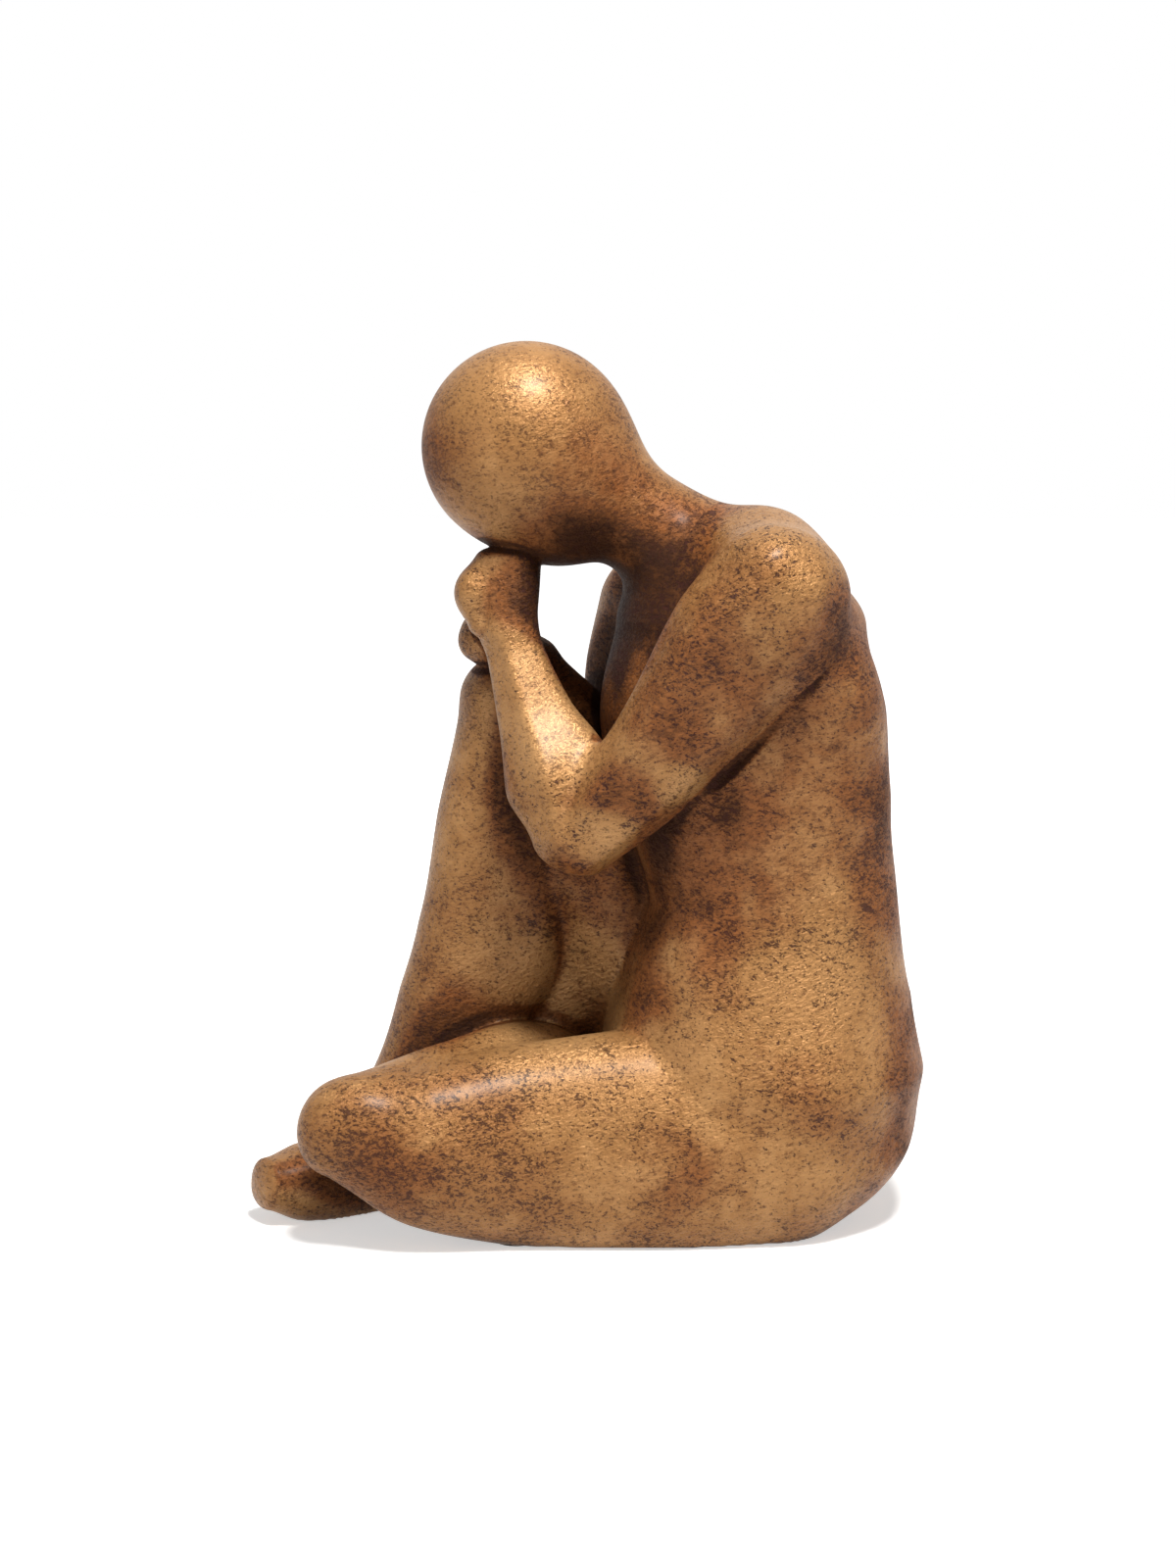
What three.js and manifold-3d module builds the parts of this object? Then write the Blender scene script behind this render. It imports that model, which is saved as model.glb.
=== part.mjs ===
// A seated, crouching figure in cold-cast resin: one knee raised, the chin on the clasped hands.
// Millimetres, +Z up. The underside stands on z = 0, and the shown side of the figure faces -Y.
// The figure looks towards -X. Each casting is a separate closed body, pinned to its neighbour.

import * as THREE from 'three';
import { mergeVertices } from 'three/addons/utils/BufferGeometryUtils.js';
import Module from 'manifold-3d';

const wasm = await Module();
wasm.setup();
const { Manifold, Mesh } = wasm;

// Joints of the figure: x is towards its back, y is away from the shown side, z is up.

const joint = {
  seat: [57.5, 2, 22],
  pelvis: [55, 2, 47],
  waist: [57.5, 0, 102],
  flank: [36, -47, 106],
  chest: [47.5, 1.5, 160],
  neckBase: [40, 0, 198],
  neck: [13.8, 0, 220.2],
  head: [-18.8, -1, 241.3],
  jaw: [-8.3, -1, 231],
  leftShoulder: [57, -46, 203],
  leftElbow: [-3.5, -34, 123],
  leftWrist: [-24, -11, 184],
  leftHand: [-28.3, -5.5, 200.5],
  rightShoulder: [24, 46, 188],
  rightElbow: [10, 41, 131],
  rightWrist: [-18, 18, 172],
  rightHand: [-31.7, 2.5, 182.6],
  leftHip: [54, -25, 31],
  leftKnee: [-66, -41, 34],
  leftAnkle: [2, 28, 14],
  leftToe: [30, 56, 7],
  rightHip: [44, 28, 38],
  rightKnee: [-27, 9, 161],
  rightAnkle: [-58, 15, 40],
  rightHeel: [-52, 15, 10],
  rightToe: [-100.3, -17.5, 12.5],
};

// Half sizes of the body: [width, depth] across a limb, and [length, width, height] of the head.

const girth = {
  seat: [45, 47],
  pelvis: [50, 51],
  loin: [43, 45.4],
  waist: [37, 38.6],
  ribs: [40, 39.9],
  chest: [43.5, 42.5],
  upperBack: [42, 36],
  flank: [20, 12, 32],
  backbone: [8, 7],
  backboneEnd: [7, 7],
  yokeLeft: [15, 17],
  collarLeft: [21, 20],
  collar: [20.3, 22],
  collarRight: [18, 18],
  yokeRight: [13, 14],
  bladeTop: [13, 13],
  blade: [15, 15],
  bladeLow: [15, 11],
  neckRoot: [22, 23],
  neckMiddle: [19, 18],
  neck: [18.3, 16.5],
  nape: [20.8, 19],
  skull: [32.3, 27, 32],
  jaw: [25, 20, 26],
  leftShoulder: [16.8, 16.5],
  leftUpperArm: [24, 16],
  leftLowerArm: [17.6, 14],
  leftArmEnd: [14, 12],
  leftElbow: [11.5, 10],
  leftForearmEnd: [12.5, 10],
  leftForearm: [17, 13],
  leftForearmThin: [11.6, 10.5],
  leftWrist: [8.3, 8.5],
  leftFist: [10.2, 10.5],
  leftKnuckles: [4.5, 6.5],
  leftFingers: [6.5, 8.5],
  leftFingertips: [4, 6],
  rightShoulder: [20, 19],
  rightUpperArm: [20, 17],
  rightLowerArm: [16.5, 13],
  rightElbow: [13, 11],
  rightForearm: [14.3, 11],
  rightWrist: [9, 8.5],
  rightFist: [8.6, 9.2],
  leftHip: [36, 25],
  leftThigh: [35.5, 22.5],
  leftThighThin: [31, 20],
  leftKneeTop: [24.2, 17],
  leftKneeEnd: [14.5, 12],
  leftCalfTop: [17, 15],
  leftCalf: [19.5, 17],
  leftCalfCrest: [20.5, 18],
  leftShin: [14.5, 14],
  leftAnkle: [11, 11],
  leftHeel: [12, 12],
  leftSole: [10, 12],
  leftToe: [7, 9],
  rightHip: [28, 32],
  rightThigh: [24, 28],
  rightThighThin: [19, 22],
  rightKnee: [15.5, 13],
  rightCalf: [17.5, 18.7],
  rightCalfFull: [18, 22.5],
  rightShin: [16, 19],
  rightAnkle: [12, 12],
  rightWebTop: [15, 14],
  rightWeb: [15, 18],
  rightWebFoot: [14, 19],
  rightHeel: [12, 12.5],
  rightSole: [13, 15],
  rightBall: [13, 12],
  rightToe: [9, 8],
};

// How far the skin is rounded over between two forms.

const fillet = {
  yoke: 22,
  blade: 20,
  backbone: 12,
  flank: 8,
  bevel: 8,
  jaw: 12,
  nape: 10,
  collar: 14,
  wrist: 5,
  fingers: 3,
  crook: 7,
  leftKnee: 6,
  leftInstep: 6,
  web: 16,
  rightKnee: 3,
  rightInstep: 8,
  crease: 3,
  hip: 26,
  crotch: 6,
  armTouch: 2,
  shoulder: 18,
};

// Casting, pinning and finishing

const GROUND = 0.4;
const GAP = 0.32;
const PART = 0.05;
const WALL = 8;
const CAVITY_TOP = 172;
const BOSS_WALL = 5;
const PIN_PLAY = 0.16;
const PIN_END_PLAY = 0.6;
const PIN_SIDES = 20;
const PAD_THICK = 1.6;
const PAD_PLAY = 0.3;
const PAD_SIDES = 24;
const plug = { radius: 12, play: 0.25, thick: 7, sides: 28 };

// [radius, length] of each steel pin, and the radius of each felt pad.

const pinSize = {
  neck_pin: [4, 42],
  left_shoulder_pin: [4, 36],
  right_shoulder_pin: [4, 34],
  left_hip_pin: [5, 44],
  right_hip_pin: [5, 44],
  chin_pin: [2.5, 22],
  fist_pin: [2, 12],
  knee_pin: [2.5, 16],
};
const padRadius = {
  left_thigh_pad: 7,
  left_hip_pad: 7,
  left_foot_pad: 6,
  seat_pad: 4.5,
  right_foot_pad: 6,
};

// Facets up the height of the figure: more on the castings with thin limbs, fewer inside.

const facets = { torso: 25, head: 31, left_arm: 42, right_arm: 42, left_leg: 31, right_leg: 34 };
const SEAM_FACETS = 23;
const CAVITY_FACETS = 21;

// Fields: each gives the signed distance to a surface, below zero inside it.

const mix = (a, b, t) => a + (b - a) * t;
const clamp = (v, low, high) => Math.min(high, Math.max(low, v));
const blendBump = (a, b, reach) => {
  const h = Math.max(reach - Math.abs(a - b), 0) / reach;
  return (h * h * h * reach) / 6;
};
const blend = (a, b, reach) => Math.min(a, b) - blendBump(a, b, reach);
const carve = (a, b, reach) => -blend(-a, -b, reach);
const smooth = (edge0, edge1, v) => {
  const t = clamp((v - edge0) / (edge1 - edge0), 0, 1);
  return t * t * (3 - 2 * t);
};

// How crisp the ridges are that a flat plane leaves along a limb.
const CRISP = 16;

// An oval tube along a smooth curve. Each station is [point, half width, half depth, squareness],
// with the width measured along the side direction and both ends rounded off. Each plane is cut
// flat along the tube: [angle round it from the side direction, share of the size that it keeps].
function limb(stations, side, { endRound = 1, planes = [], steps = 8 } = {}) {
  const cuts = planes.map(([angle, share]) => [
    Math.cos(THREE.MathUtils.degToRad(angle)) / share, Math.sin(THREE.MathUtils.degToRad(angle)) / share]);
  const curve = new THREE.CatmullRomCurve3(
    stations.map(([p]) => new THREE.Vector3(...p)), false, 'centripetal');
  const count = (stations.length - 1) * steps;
  const rings = [];
  for (let i = 0; i <= count; i++) {
    const t = i / count;
    const c = curve.getPoint(t);
    const e = curve.getTangent(t);
    const s = sideAt(side, t);
    const u = s.clone().addScaledVector(e, -s.dot(e)).normalize();
    const v = new THREE.Vector3().crossVectors(e, u);
    const k = sizeAt(stations, t);
    rings.push([c.x, c.y, c.z, e.x, e.y, e.z, u.x, u.y, u.z, v.x, v.y, v.z, k[0], k[1], k[2]]);
  }
  const n = rings.length;
  return (x, y, z) => {
    let best = Infinity;
    let seg = 0;
    let at = 0;
    for (let i = 0; i < n - 1; i++) {
      const a = rings[i];
      const b = rings[i + 1];
      const dx = b[0] - a[0], dy = b[1] - a[1], dz = b[2] - a[2];
      const along = (x - a[0]) * dx + (y - a[1]) * dy + (z - a[2]) * dz;
      const t = clamp(along / (dx * dx + dy * dy + dz * dz), 0, 1);
      const px = x - a[0] - dx * t, py = y - a[1] - dy * t, pz = z - a[2] - dz * t;
      const d = px * px + py * py + pz * pz;
      if (d < best) { best = d; seg = i; at = t; }
    }
    const a = rings[seg];
    const b = rings[seg + 1];
    const r = (k) => a[k] + (b[k] - a[k]) * at;
    const px = x - r(0), py = y - r(1), pz = z - r(2);
    const w = r(12), d = r(13), q = r(14);
    const pu = (px * r(6) + py * r(7) + pz * r(8)) / w;
    const pv = (px * r(9) + py * r(10) + pz * r(11)) / d;
    const cap = endRound * Math.min(w, d);
    const ps = (px * r(3) + py * r(4) + pz * r(5)) / cap;
    const au = Math.abs(pu), av = Math.abs(pv);
    let m = Math.max((au ** q + av ** q) ** (1 / q), 1e-9);
    let gu = Math.sign(pu) * (au / m) ** (q - 1);
    let gv = Math.sign(pv) * (av / m) ** (q - 1);
    for (const [c, s] of cuts) {
      const flat = Math.max(pu * c + pv * s, 0);
      const both = (m ** CRISP + flat ** CRISP) ** (1 / CRISP);
      const keep = (m / both) ** (CRISP - 1);
      const cut = (flat / both) ** (CRISP - 1);
      [m, gu, gv] = [both, gu * keep + c * cut, gv * keep + s * cut];
    }
    const k0 = Math.max(Math.hypot(m, ps), 1e-6);
    const slope = Math.hypot((m * gu) / w, (m * gv) / d, ps / cap) / k0;
    return (k0 - 1) / Math.max(slope, 1e-6);
  };
}

function sizeAt(stations, t) {
  const n = stations.length - 1;
  const s = t * n;
  const i = Math.min(Math.floor(s), n - 1);
  const f = s - i;
  const get = (j, k) => {
    const st = stations[clamp(j, 0, n)];
    return k === 2 ? (st[3] ?? 2) : st[k + 1];
  };
  return [0, 1, 2].map((k) => {
    const p0 = get(i - 1, k), p1 = get(i, k), p2 = get(i + 1, k), p3 = get(i + 2, k);
    const m1 = (p2 - p0) / 2, m2 = (p3 - p1) / 2;
    const f2 = f * f, f3 = f2 * f;
    return (2 * f3 - 3 * f2 + 1) * p1 + (f3 - 2 * f2 + f) * m1 + (-2 * f3 + 3 * f2) * p2 + (f3 - f2) * m2;
  });
}

function sideAt(side, t) {
  if (typeof side[0] === 'number') return new THREE.Vector3(...side).normalize();
  const s = t * (side.length - 1);
  const i = Math.min(Math.floor(s), side.length - 2);
  return new THREE.Vector3(...side[i]).lerp(new THREE.Vector3(...side[i + 1]), s - i).normalize();
}

// An ellipsoid turned by Euler angles in degrees.
function egg(centre, radii, turn = [0, 0, 0]) {
  const q = new THREE.Quaternion().setFromEuler(
    new THREE.Euler(...turn.map(THREE.MathUtils.degToRad), 'ZYX')).invert();
  const p = new THREE.Vector3();
  const [a, b, c] = radii;
  return (x, y, z) => {
    p.set(x - centre[0], y - centre[1], z - centre[2]).applyQuaternion(q);
    const k0 = Math.hypot(p.x / a, p.y / b, p.z / c);
    const k1 = Math.hypot(p.x / (a * a), p.y / (b * b), p.z / (c * c));
    return k1 < 1e-6 ? -Math.min(a, b, c) : (k0 * (k0 - 1)) / k1;
  };
}

const yaw = (deg) => {
  const a = THREE.MathUtils.degToRad(deg);
  return [Math.sin(a), -Math.cos(a), 0];
};

const J = joint;
const off = (p, dx, dy, dz) => [p[0] + dx, p[1] + dy, p[2] + dz];
const between = (a, b, t, dx = 0, dy = 0, dz = 0) =>
  [mix(a[0], b[0], t) + dx, mix(a[1], b[1], t) + dy, mix(a[2], b[2], t) + dz];

// Torso

const trunk = limb([
  [J.seat, ...girth.seat, 2.3],
  [J.pelvis, ...girth.pelvis, 2.3],
  [between(J.pelvis, J.waist, 0.5), ...girth.loin, 2.4],
  [J.waist, ...girth.waist, 2.6],
  [between(J.waist, J.chest, 0.5), ...girth.ribs, 2.5],
  [J.chest, ...girth.chest, 2.3],
  [between(J.chest, J.neckBase, 0.7, 5, 0, 0), ...girth.upperBack, 2.2],
], [2, 3, 5, 8, 14, 22, 26].map(yaw), { endRound: 0.55 });
const spine = limb([
  [off(J.pelvis, 58.5, 1, 8), ...girth.backboneEnd],
  [between(J.pelvis, J.waist, 0.5, 46.8, 3, 0), ...girth.backbone],
  [off(J.waist, 39.5, 5.5, 1), ...girth.backbone],
  [between(J.waist, J.chest, 0.5, 41, 10.5, 1), ...girth.backbone],
  [off(J.chest, 43, 17, 0), ...girth.backbone],
  [between(J.chest, J.neckBase, 0.7, 40.5, 17, 0), ...girth.backboneEnd],
], [0, 1, 0]);
const yoke = limb([
  [off(J.leftShoulder, -2, 4, -3), ...girth.yokeLeft],
  [between(J.leftShoulder, J.neckBase, 0.5, 4.5, 0, 2), ...girth.collarLeft],
  [off(J.neckBase, 4, 0, 3), ...girth.collar],
  [between(J.rightShoulder, J.neckBase, 0.5, 6, 0, 0), ...girth.collarRight],
  [off(J.rightShoulder, 4, -5, 4), ...girth.yokeRight],
], [0, 0, 1]);
const leftBlade = limb([
  [off(J.leftShoulder, 3, 8, -14), ...girth.bladeTop],
  [off(J.leftShoulder, 15, 18, -36), ...girth.blade],
  [off(J.leftShoulder, 16, 26, -68), ...girth.bladeLow],
], [1, 0, 0]);
const rightBlade = limb([
  [off(J.rightShoulder, 8, -2, 0), ...girth.bladeTop],
  [off(J.rightShoulder, 24, -8, -22), ...girth.blade],
  [off(J.rightShoulder, 32, -14, -53), ...girth.bladeLow],
], [1, 0.4, 0]);
const flank = egg(J.flank, girth.flank);

// The flat bevel along the seat's lower back edge: how far a point is beyond it.
const BEVEL_POINT = [94, 2, 13.5];
const BEVEL_WAY = [0.786, 0, -0.618];
const seatBevel = (x, z) => (x - BEVEL_POINT[0]) * BEVEL_WAY[0] + (z - BEVEL_POINT[2]) * BEVEL_WAY[2];

// Head and neck

const neck = limb([
  [off(J.neckBase, 2, 0, -8), ...girth.neckRoot],
  [between(J.neckBase, J.neck, 0.55, 0, 0, 1), ...girth.neckMiddle],
  [J.neck, ...girth.neck],
  [between(J.neck, J.head, 0.5), ...girth.nape],
], yaw(12));
const skull = egg(J.head, girth.skull, [0, 0, 8]);
const jaw = egg(J.jaw, girth.jaw, [0, 0, 8]);

// Arms

const leftUpperArm = limb([
  [J.leftShoulder, ...girth.leftShoulder, 2.2],
  [between(J.leftShoulder, J.leftElbow, 0.22, 2.8, 0, -1.6), ...girth.leftUpperArm, 2.6],
  [between(J.leftShoulder, J.leftElbow, 0.6, 3.4, 0, -2.6), ...girth.leftLowerArm, 3],
  [between(J.leftShoulder, J.leftElbow, 0.85, 1.6, 0, -1.2), ...girth.leftArmEnd, 3],
  [J.leftElbow, ...girth.leftElbow, 2.8],
], [0.72, 0.34, -0.6], { endRound: 0.8, planes: [[103, 0.9], [173, 0.97], [45, 0.93]] });
const leftForearm = limb([
  [off(J.leftElbow, -1, 0, 3), ...girth.leftForearmEnd],
  [between(J.leftElbow, J.leftWrist, 0.3, 1.4, 0, 0), ...girth.leftForearm, 2.2],
  [between(J.leftElbow, J.leftWrist, 0.62), ...girth.leftForearmThin, 2.2],
  [J.leftWrist, ...girth.leftWrist],
], [1, 0.2, 0], { planes: [[212, 0.86], [272, 0.84]] });
const leftFist = limb([
  [J.leftWrist, ...girth.leftWrist],
  [off(J.leftHand, 3.5, 0.5, 4.3), ...girth.leftFist, 2.5],
], [1, 0, 0.3], { endRound: 0.6 });
const leftFingers = limb([
  [off(J.leftHand, -2, -1.5, 5), ...girth.leftKnuckles, 2.4],
  [off(J.leftHand, -6.3, -2.5, -3.5), ...girth.leftFingers, 2.4],
  [off(J.leftHand, -4.5, -3.5, -13), ...girth.leftFingertips, 2.4],
], [1, 0, 0], { planes: [[235, 0.85], [290, 0.85]] });
const rightUpperArm = limb([
  [J.rightShoulder, ...girth.rightShoulder],
  [between(J.rightShoulder, J.rightElbow, 0.35), ...girth.rightUpperArm],
  [between(J.rightShoulder, J.rightElbow, 0.7), ...girth.rightLowerArm],
  [J.rightElbow, ...girth.rightElbow],
], [1, 0, 0]);
const rightForearm = limb([
  [J.rightElbow, ...girth.rightElbow],
  [between(J.rightElbow, J.rightWrist, 0.4), ...girth.rightForearm],
  [J.rightWrist, ...girth.rightWrist],
], [1, 0, 0.4]);
const rightFist = limb([
  [J.rightWrist, ...girth.rightWrist],
  [J.rightHand, ...girth.rightFist, 2.4],
], [0, 0, 1], { endRound: 0.9 });

// Folded left leg

const leftThigh = limb([
  [off(J.leftHip, 0, 1, 0), ...girth.leftHip],
  [between(J.leftHip, J.leftKnee, 0.25, 0, 2, -2.5), ...girth.leftThigh, 2.2],
  [between(J.leftHip, J.leftKnee, 0.62, 0, 4, -4), ...girth.leftThighThin, 2.2],
  [between(J.leftHip, J.leftKnee, 0.88, 0, 0, -2.5), ...girth.leftKneeTop],
  [off(J.leftKnee, -10, 0, 3), ...girth.leftKneeEnd],
], [0, 0.2, 0.97]);
const leftCalf = limb([
  [off(J.leftKnee, -2, 3, 2), ...girth.leftCalfTop],
  [off(J.leftKnee, 25, 22, 5), ...girth.leftCalf],
  [off(J.leftKnee, 49, 39, 5.5), ...girth.leftCalfCrest],
  [off(J.leftKnee, 64, 56, -8), ...girth.leftShin],
  [J.leftAnkle, ...girth.leftAnkle],
], [0, 0, 1]);
const leftFoot = limb([
  [off(J.leftAnkle, -4, -4, -4), ...girth.leftHeel],
  [between(J.leftAnkle, J.leftToe, 0.6, 0, 0, -2), ...girth.leftSole],
  [J.leftToe, ...girth.leftToe],
], [0, 0, 1]);

// Raised right leg

const rightThigh = limb([
  [J.rightHip, ...girth.rightHip],
  [between(J.rightHip, J.rightKnee, 0.3), ...girth.rightThigh],
  [between(J.rightHip, J.rightKnee, 0.65), ...girth.rightThighThin],
  [J.rightKnee, ...girth.rightKnee],
], [0, 1, 0]);
const rightCalf = limb([
  [off(J.rightKnee, 0, 0, 2), ...girth.rightKnee],
  [between(J.rightKnee, J.rightAnkle, 0.3, 7, 1, 0), ...girth.rightCalf],
  [between(J.rightKnee, J.rightAnkle, 0.62, 14, 1, 0), ...girth.rightCalfFull],
  [between(J.rightKnee, J.rightAnkle, 0.84, 9, 0, 0), ...girth.rightShin],
  [off(J.rightAnkle, -2, 0, -6), ...girth.rightAnkle],
], [0, 1, 0]);
const rightWeb = limb([
  [between(J.rightHip, J.rightKnee, 0.62, -6, 0, -4), ...girth.rightWebTop],
  [between(J.rightKnee, J.rightAnkle, 0.52, 35, 10, 0), ...girth.rightWeb],
  [between(J.rightKnee, J.rightAnkle, 0.82, 40.4, 7, 0), ...girth.rightWebFoot],
], [0, 1, 0]);
const rightFoot = limb([
  [J.rightHeel, ...girth.rightHeel, 2.3],
  [between(J.rightHeel, J.rightToe, 0.45, -1, -1, -1), ...girth.rightSole, 2.3],
  [between(J.rightHeel, J.rightToe, 0.8, 0, 0, -1), ...girth.rightBall, 2.3],
  [J.rightToe, ...girth.rightToe, 2.3],
], [0.55, -0.83, 0], { endRound: 0.45 });

// Whole castings, before they are blended into one skin

const dist = (p, x, y, z) => Math.hypot(x - p[0], y - p[1], z - p[2]);

const castings = {
  torso: (x, y, z) => {
    const blades = blend(leftBlade(x, y, z), rightBlade(x, y, z), 1);
    const back = blend(trunk(x, y, z), blades, fillet.blade);
    const body = carve(blend(back, yoke(x, y, z), fillet.yoke), -spine(x, y, z), fillet.backbone);
    return carve(carve(body, -flank(x, y, z), fillet.flank), seatBevel(x, z), fillet.bevel);
  },
  head: (x, y, z) => blend(blend(skull(x, y, z), jaw(x, y, z), fillet.jaw), neck(x, y, z), fillet.nape),
  left_arm: (x, y, z) => {
    const hand = blend(leftForearm(x, y, z), leftFist(x, y, z), fillet.wrist);
    const fore = blend(hand, leftFingers(x, y, z), fillet.fingers);
    return blend(leftUpperArm(x, y, z), fore, fillet.crook);
  },
  right_arm: (x, y, z) => {
    const fore = blend(rightForearm(x, y, z), rightFist(x, y, z), fillet.wrist);
    return blend(rightUpperArm(x, y, z), fore, fillet.crook);
  },
  left_leg: (x, y, z) => {
    const d = blend(leftThigh(x, y, z), leftCalf(x, y, z), fillet.leftKnee);
    return blend(d, leftFoot(x, y, z), fillet.leftInstep);
  },
  right_leg: (x, y, z) => {
    const thigh = blend(rightThigh(x, y, z), rightWeb(x, y, z), fillet.web);
    const d = blend(thigh, rightCalf(x, y, z), fillet.rightKnee);
    return blend(d, rightFoot(x, y, z), fillet.rightInstep);
  },
};

// The thigh flows into the buttock from this far in front of the hip to this far behind it.
const hipFront = J.leftHip[0] - 10;
const hipBack = J.leftHip[0] + 24;
// An arm flows into the shoulder near its joint, and only touches the body further down.
const SHOULDER_NEAR = 22;
const SHOULDER_FAR = 46;
const shoulderReach = (p, x, y, z) =>
  mix(fillet.armTouch, fillet.shoulder, smooth(SHOULDER_FAR, SHOULDER_NEAR, dist(p, x, y, z)));

function figureField(x, y, z) {
  let d = castings.torso(x, y, z);
  d = blend(d, castings.head(x, y, z), fillet.collar);
  d = blend(d, castings.left_leg(x, y, z), mix(fillet.crease, fillet.hip, smooth(hipFront, hipBack, x)));
  d = blend(d, castings.right_leg(x, y, z), fillet.crotch);
  d = blend(d, castings.left_arm(x, y, z), shoulderReach(J.leftShoulder, x, y, z));
  d = blend(d, castings.right_arm(x, y, z), shoulderReach(J.rightShoulder, x, y, z));
  return d;
}

// The twelve edges of a grid cell as pairs of its corners, and its six faces as rings of corners.
const cellCorners = [0, 1, 2, 3, 4, 5, 6, 7].map((c) => [c & 1, (c >> 1) & 1, c >> 2]);
const cellEdges = [];
for (let a = 0; a < 8; a++) {
  for (const bit of [1, 2, 4]) if (!(a & bit)) cellEdges.push([a, a | bit]);
}
const edgeBetween = (a, b) => cellEdges.findIndex(([p, q]) => (p === a && q === b) || (p === b && q === a));
const cellFaces = [[0, 1, 3, 2], [4, 5, 7, 6], [0, 1, 5, 4], [2, 3, 7, 6], [0, 2, 6, 4], [1, 3, 7, 5]];

// The sheets of the surface inside a cell: the cut edges, grouped by how they join across its faces.
const sheetsOf = (inside) => {
  const link = cellEdges.map((_, i) => i);
  const root = (i) => (link[i] === i ? i : root(link[i]));
  const cut = (i) => inside[cellEdges[i][0]] !== inside[cellEdges[i][1]];
  for (const ring of cellFaces) {
    const around = ring.map((c, i) => edgeBetween(c, ring[(i + 1) % 4]));
    const hit = around.filter(cut);
    if (hit.length === 2) link[root(hit[0])] = root(hit[1]);
    if (hit.length === 4) {
      ring.forEach((c, i) => {
        if (inside[c]) link[root(around[i])] = root(around[(i + 3) % 4]);
      });
    }
  }
  const sheets = new Map();
  cellEdges.forEach((_, i) => {
    if (!cut(i)) return;
    if (!sheets.has(root(i))) sheets.set(root(i), []);
    sheets.get(root(i)).push(i);
  });
  return [...sheets.values()];
};
const sheetTable = [];
for (let mask = 0; mask < 256; mask++) {
  sheetTable.push(sheetsOf(cellCorners.map((_, c) => Boolean(mask & (1 << c)))));
}

// A closed mesh of a field's zero surface on a cubic grid, with one vertex to each sheet in a cell.
// The grid goes one cell past the given space on every side.
function surfaceNet(field, first, last, cell, polish = 3) {
  const low = first.map((v) => v - cell);
  const n = low.map((v, k) => Math.ceil((last[k] - v) / cell) + 2);
  const at = (i, j, k) => (k * n[1] + j) * n[0] + i;
  const value = new Float32Array(n[0] * n[1] * n[2]);
  for (let k = 0; k < n[2]; k++) {
    for (let j = 0; j < n[1]; j++) {
      for (let i = 0; i < n[0]; i++) {
        value[at(i, j, k)] = field(low[0] + i * cell, low[1] + j * cell, low[2] + k * cell);
      }
    }
  }
  const vertexOf = new Map();
  const position = [];
  for (let k = 0; k < n[2] - 1; k++) {
    for (let j = 0; j < n[1] - 1; j++) {
      for (let i = 0; i < n[0] - 1; i++) {
        const v = cellCorners.map(([a, b, c]) => value[at(i + a, j + b, k + c)]);
        const mask = v.reduce((m, w, c) => (w < 0 ? m | (1 << c) : m), 0);
        if (mask === 0 || mask === 255) continue;
        const byEdge = new Int32Array(12).fill(-1);
        for (const sheet of sheetTable[mask]) {
          const sum = [0, 0, 0];
          for (const e of sheet) {
            const [a, b] = cellEdges[e];
            const t = v[a] / (v[a] - v[b]);
            for (let m = 0; m < 3; m++) sum[m] += mix(cellCorners[a][m], cellCorners[b][m], t);
            byEdge[e] = position.length / 3;
          }
          position.push(...[i, j, k].map((w, m) => low[m] + (w + sum[m] / sheet.length) * cell));
        }
        vertexOf.set(at(i, j, k), byEdge);
      }
    }
  }
  // Newton steps along the slope bring each vertex onto the surface, except where it is creased.
  const h = 0.05;
  const reach = cell * 0.3;
  const flattest = 0.04;
  for (let p = 0; p < position.length; p += 3) {
    const start = position.slice(p, p + 3);
    for (let s = 0; s < polish; s++) {
      const [x, y, z] = position.slice(p, p + 3);
      const d = field(x, y, z);
      const g = [field(x + h, y, z) - field(x - h, y, z), field(x, y + h, z) - field(x, y - h, z),
        field(x, y, z + h) - field(x, y, z - h)].map((w) => w / (2 * h));
      const gg = g[0] ** 2 + g[1] ** 2 + g[2] ** 2;
      if (gg < flattest) break;
      for (let m = 0; m < 3; m++) {
        position[p + m] = clamp(position[p + m] - (g[m] * d) / gg, start[m] - reach, start[m] + reach);
      }
    }
  }
  const quads = [];
  // Each cut grid edge is ringed by four cells, whose vertices make one quad.
  const ringOf = [[1, 2, 4], [2, 4, 1], [4, 1, 2]];
  for (let k = 1; k < n[2] - 1; k++) {
    for (let j = 1; j < n[1] - 1; j++) {
      for (let i = 1; i < n[0] - 1; i++) {
        const here = value[at(i, j, k)] < 0;
        const next = [at(i + 1, j, k), at(i, j + 1, k), at(i, j, k + 1)];
        ringOf.forEach(([along, u, w], axis) => {
          if (here === value[next[axis]] < 0) return;
          const corner = (du, dw) => {
            const back = (du ? u : 0) | (dw ? w : 0);
            const id = at(i - (back & 1), j - ((back >> 1) & 1), k - (back >> 2));
            return vertexOf.get(id)[edgeBetween(back, back | along)];
          };
          const ring = [corner(1, 1), corner(0, 1), corner(0, 0), corner(1, 0)];
          quads.push(here ? ring : ring.reverse());
        });
      }
    }
  }
  return partSheets(position, halved(position, quads));
}

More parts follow.
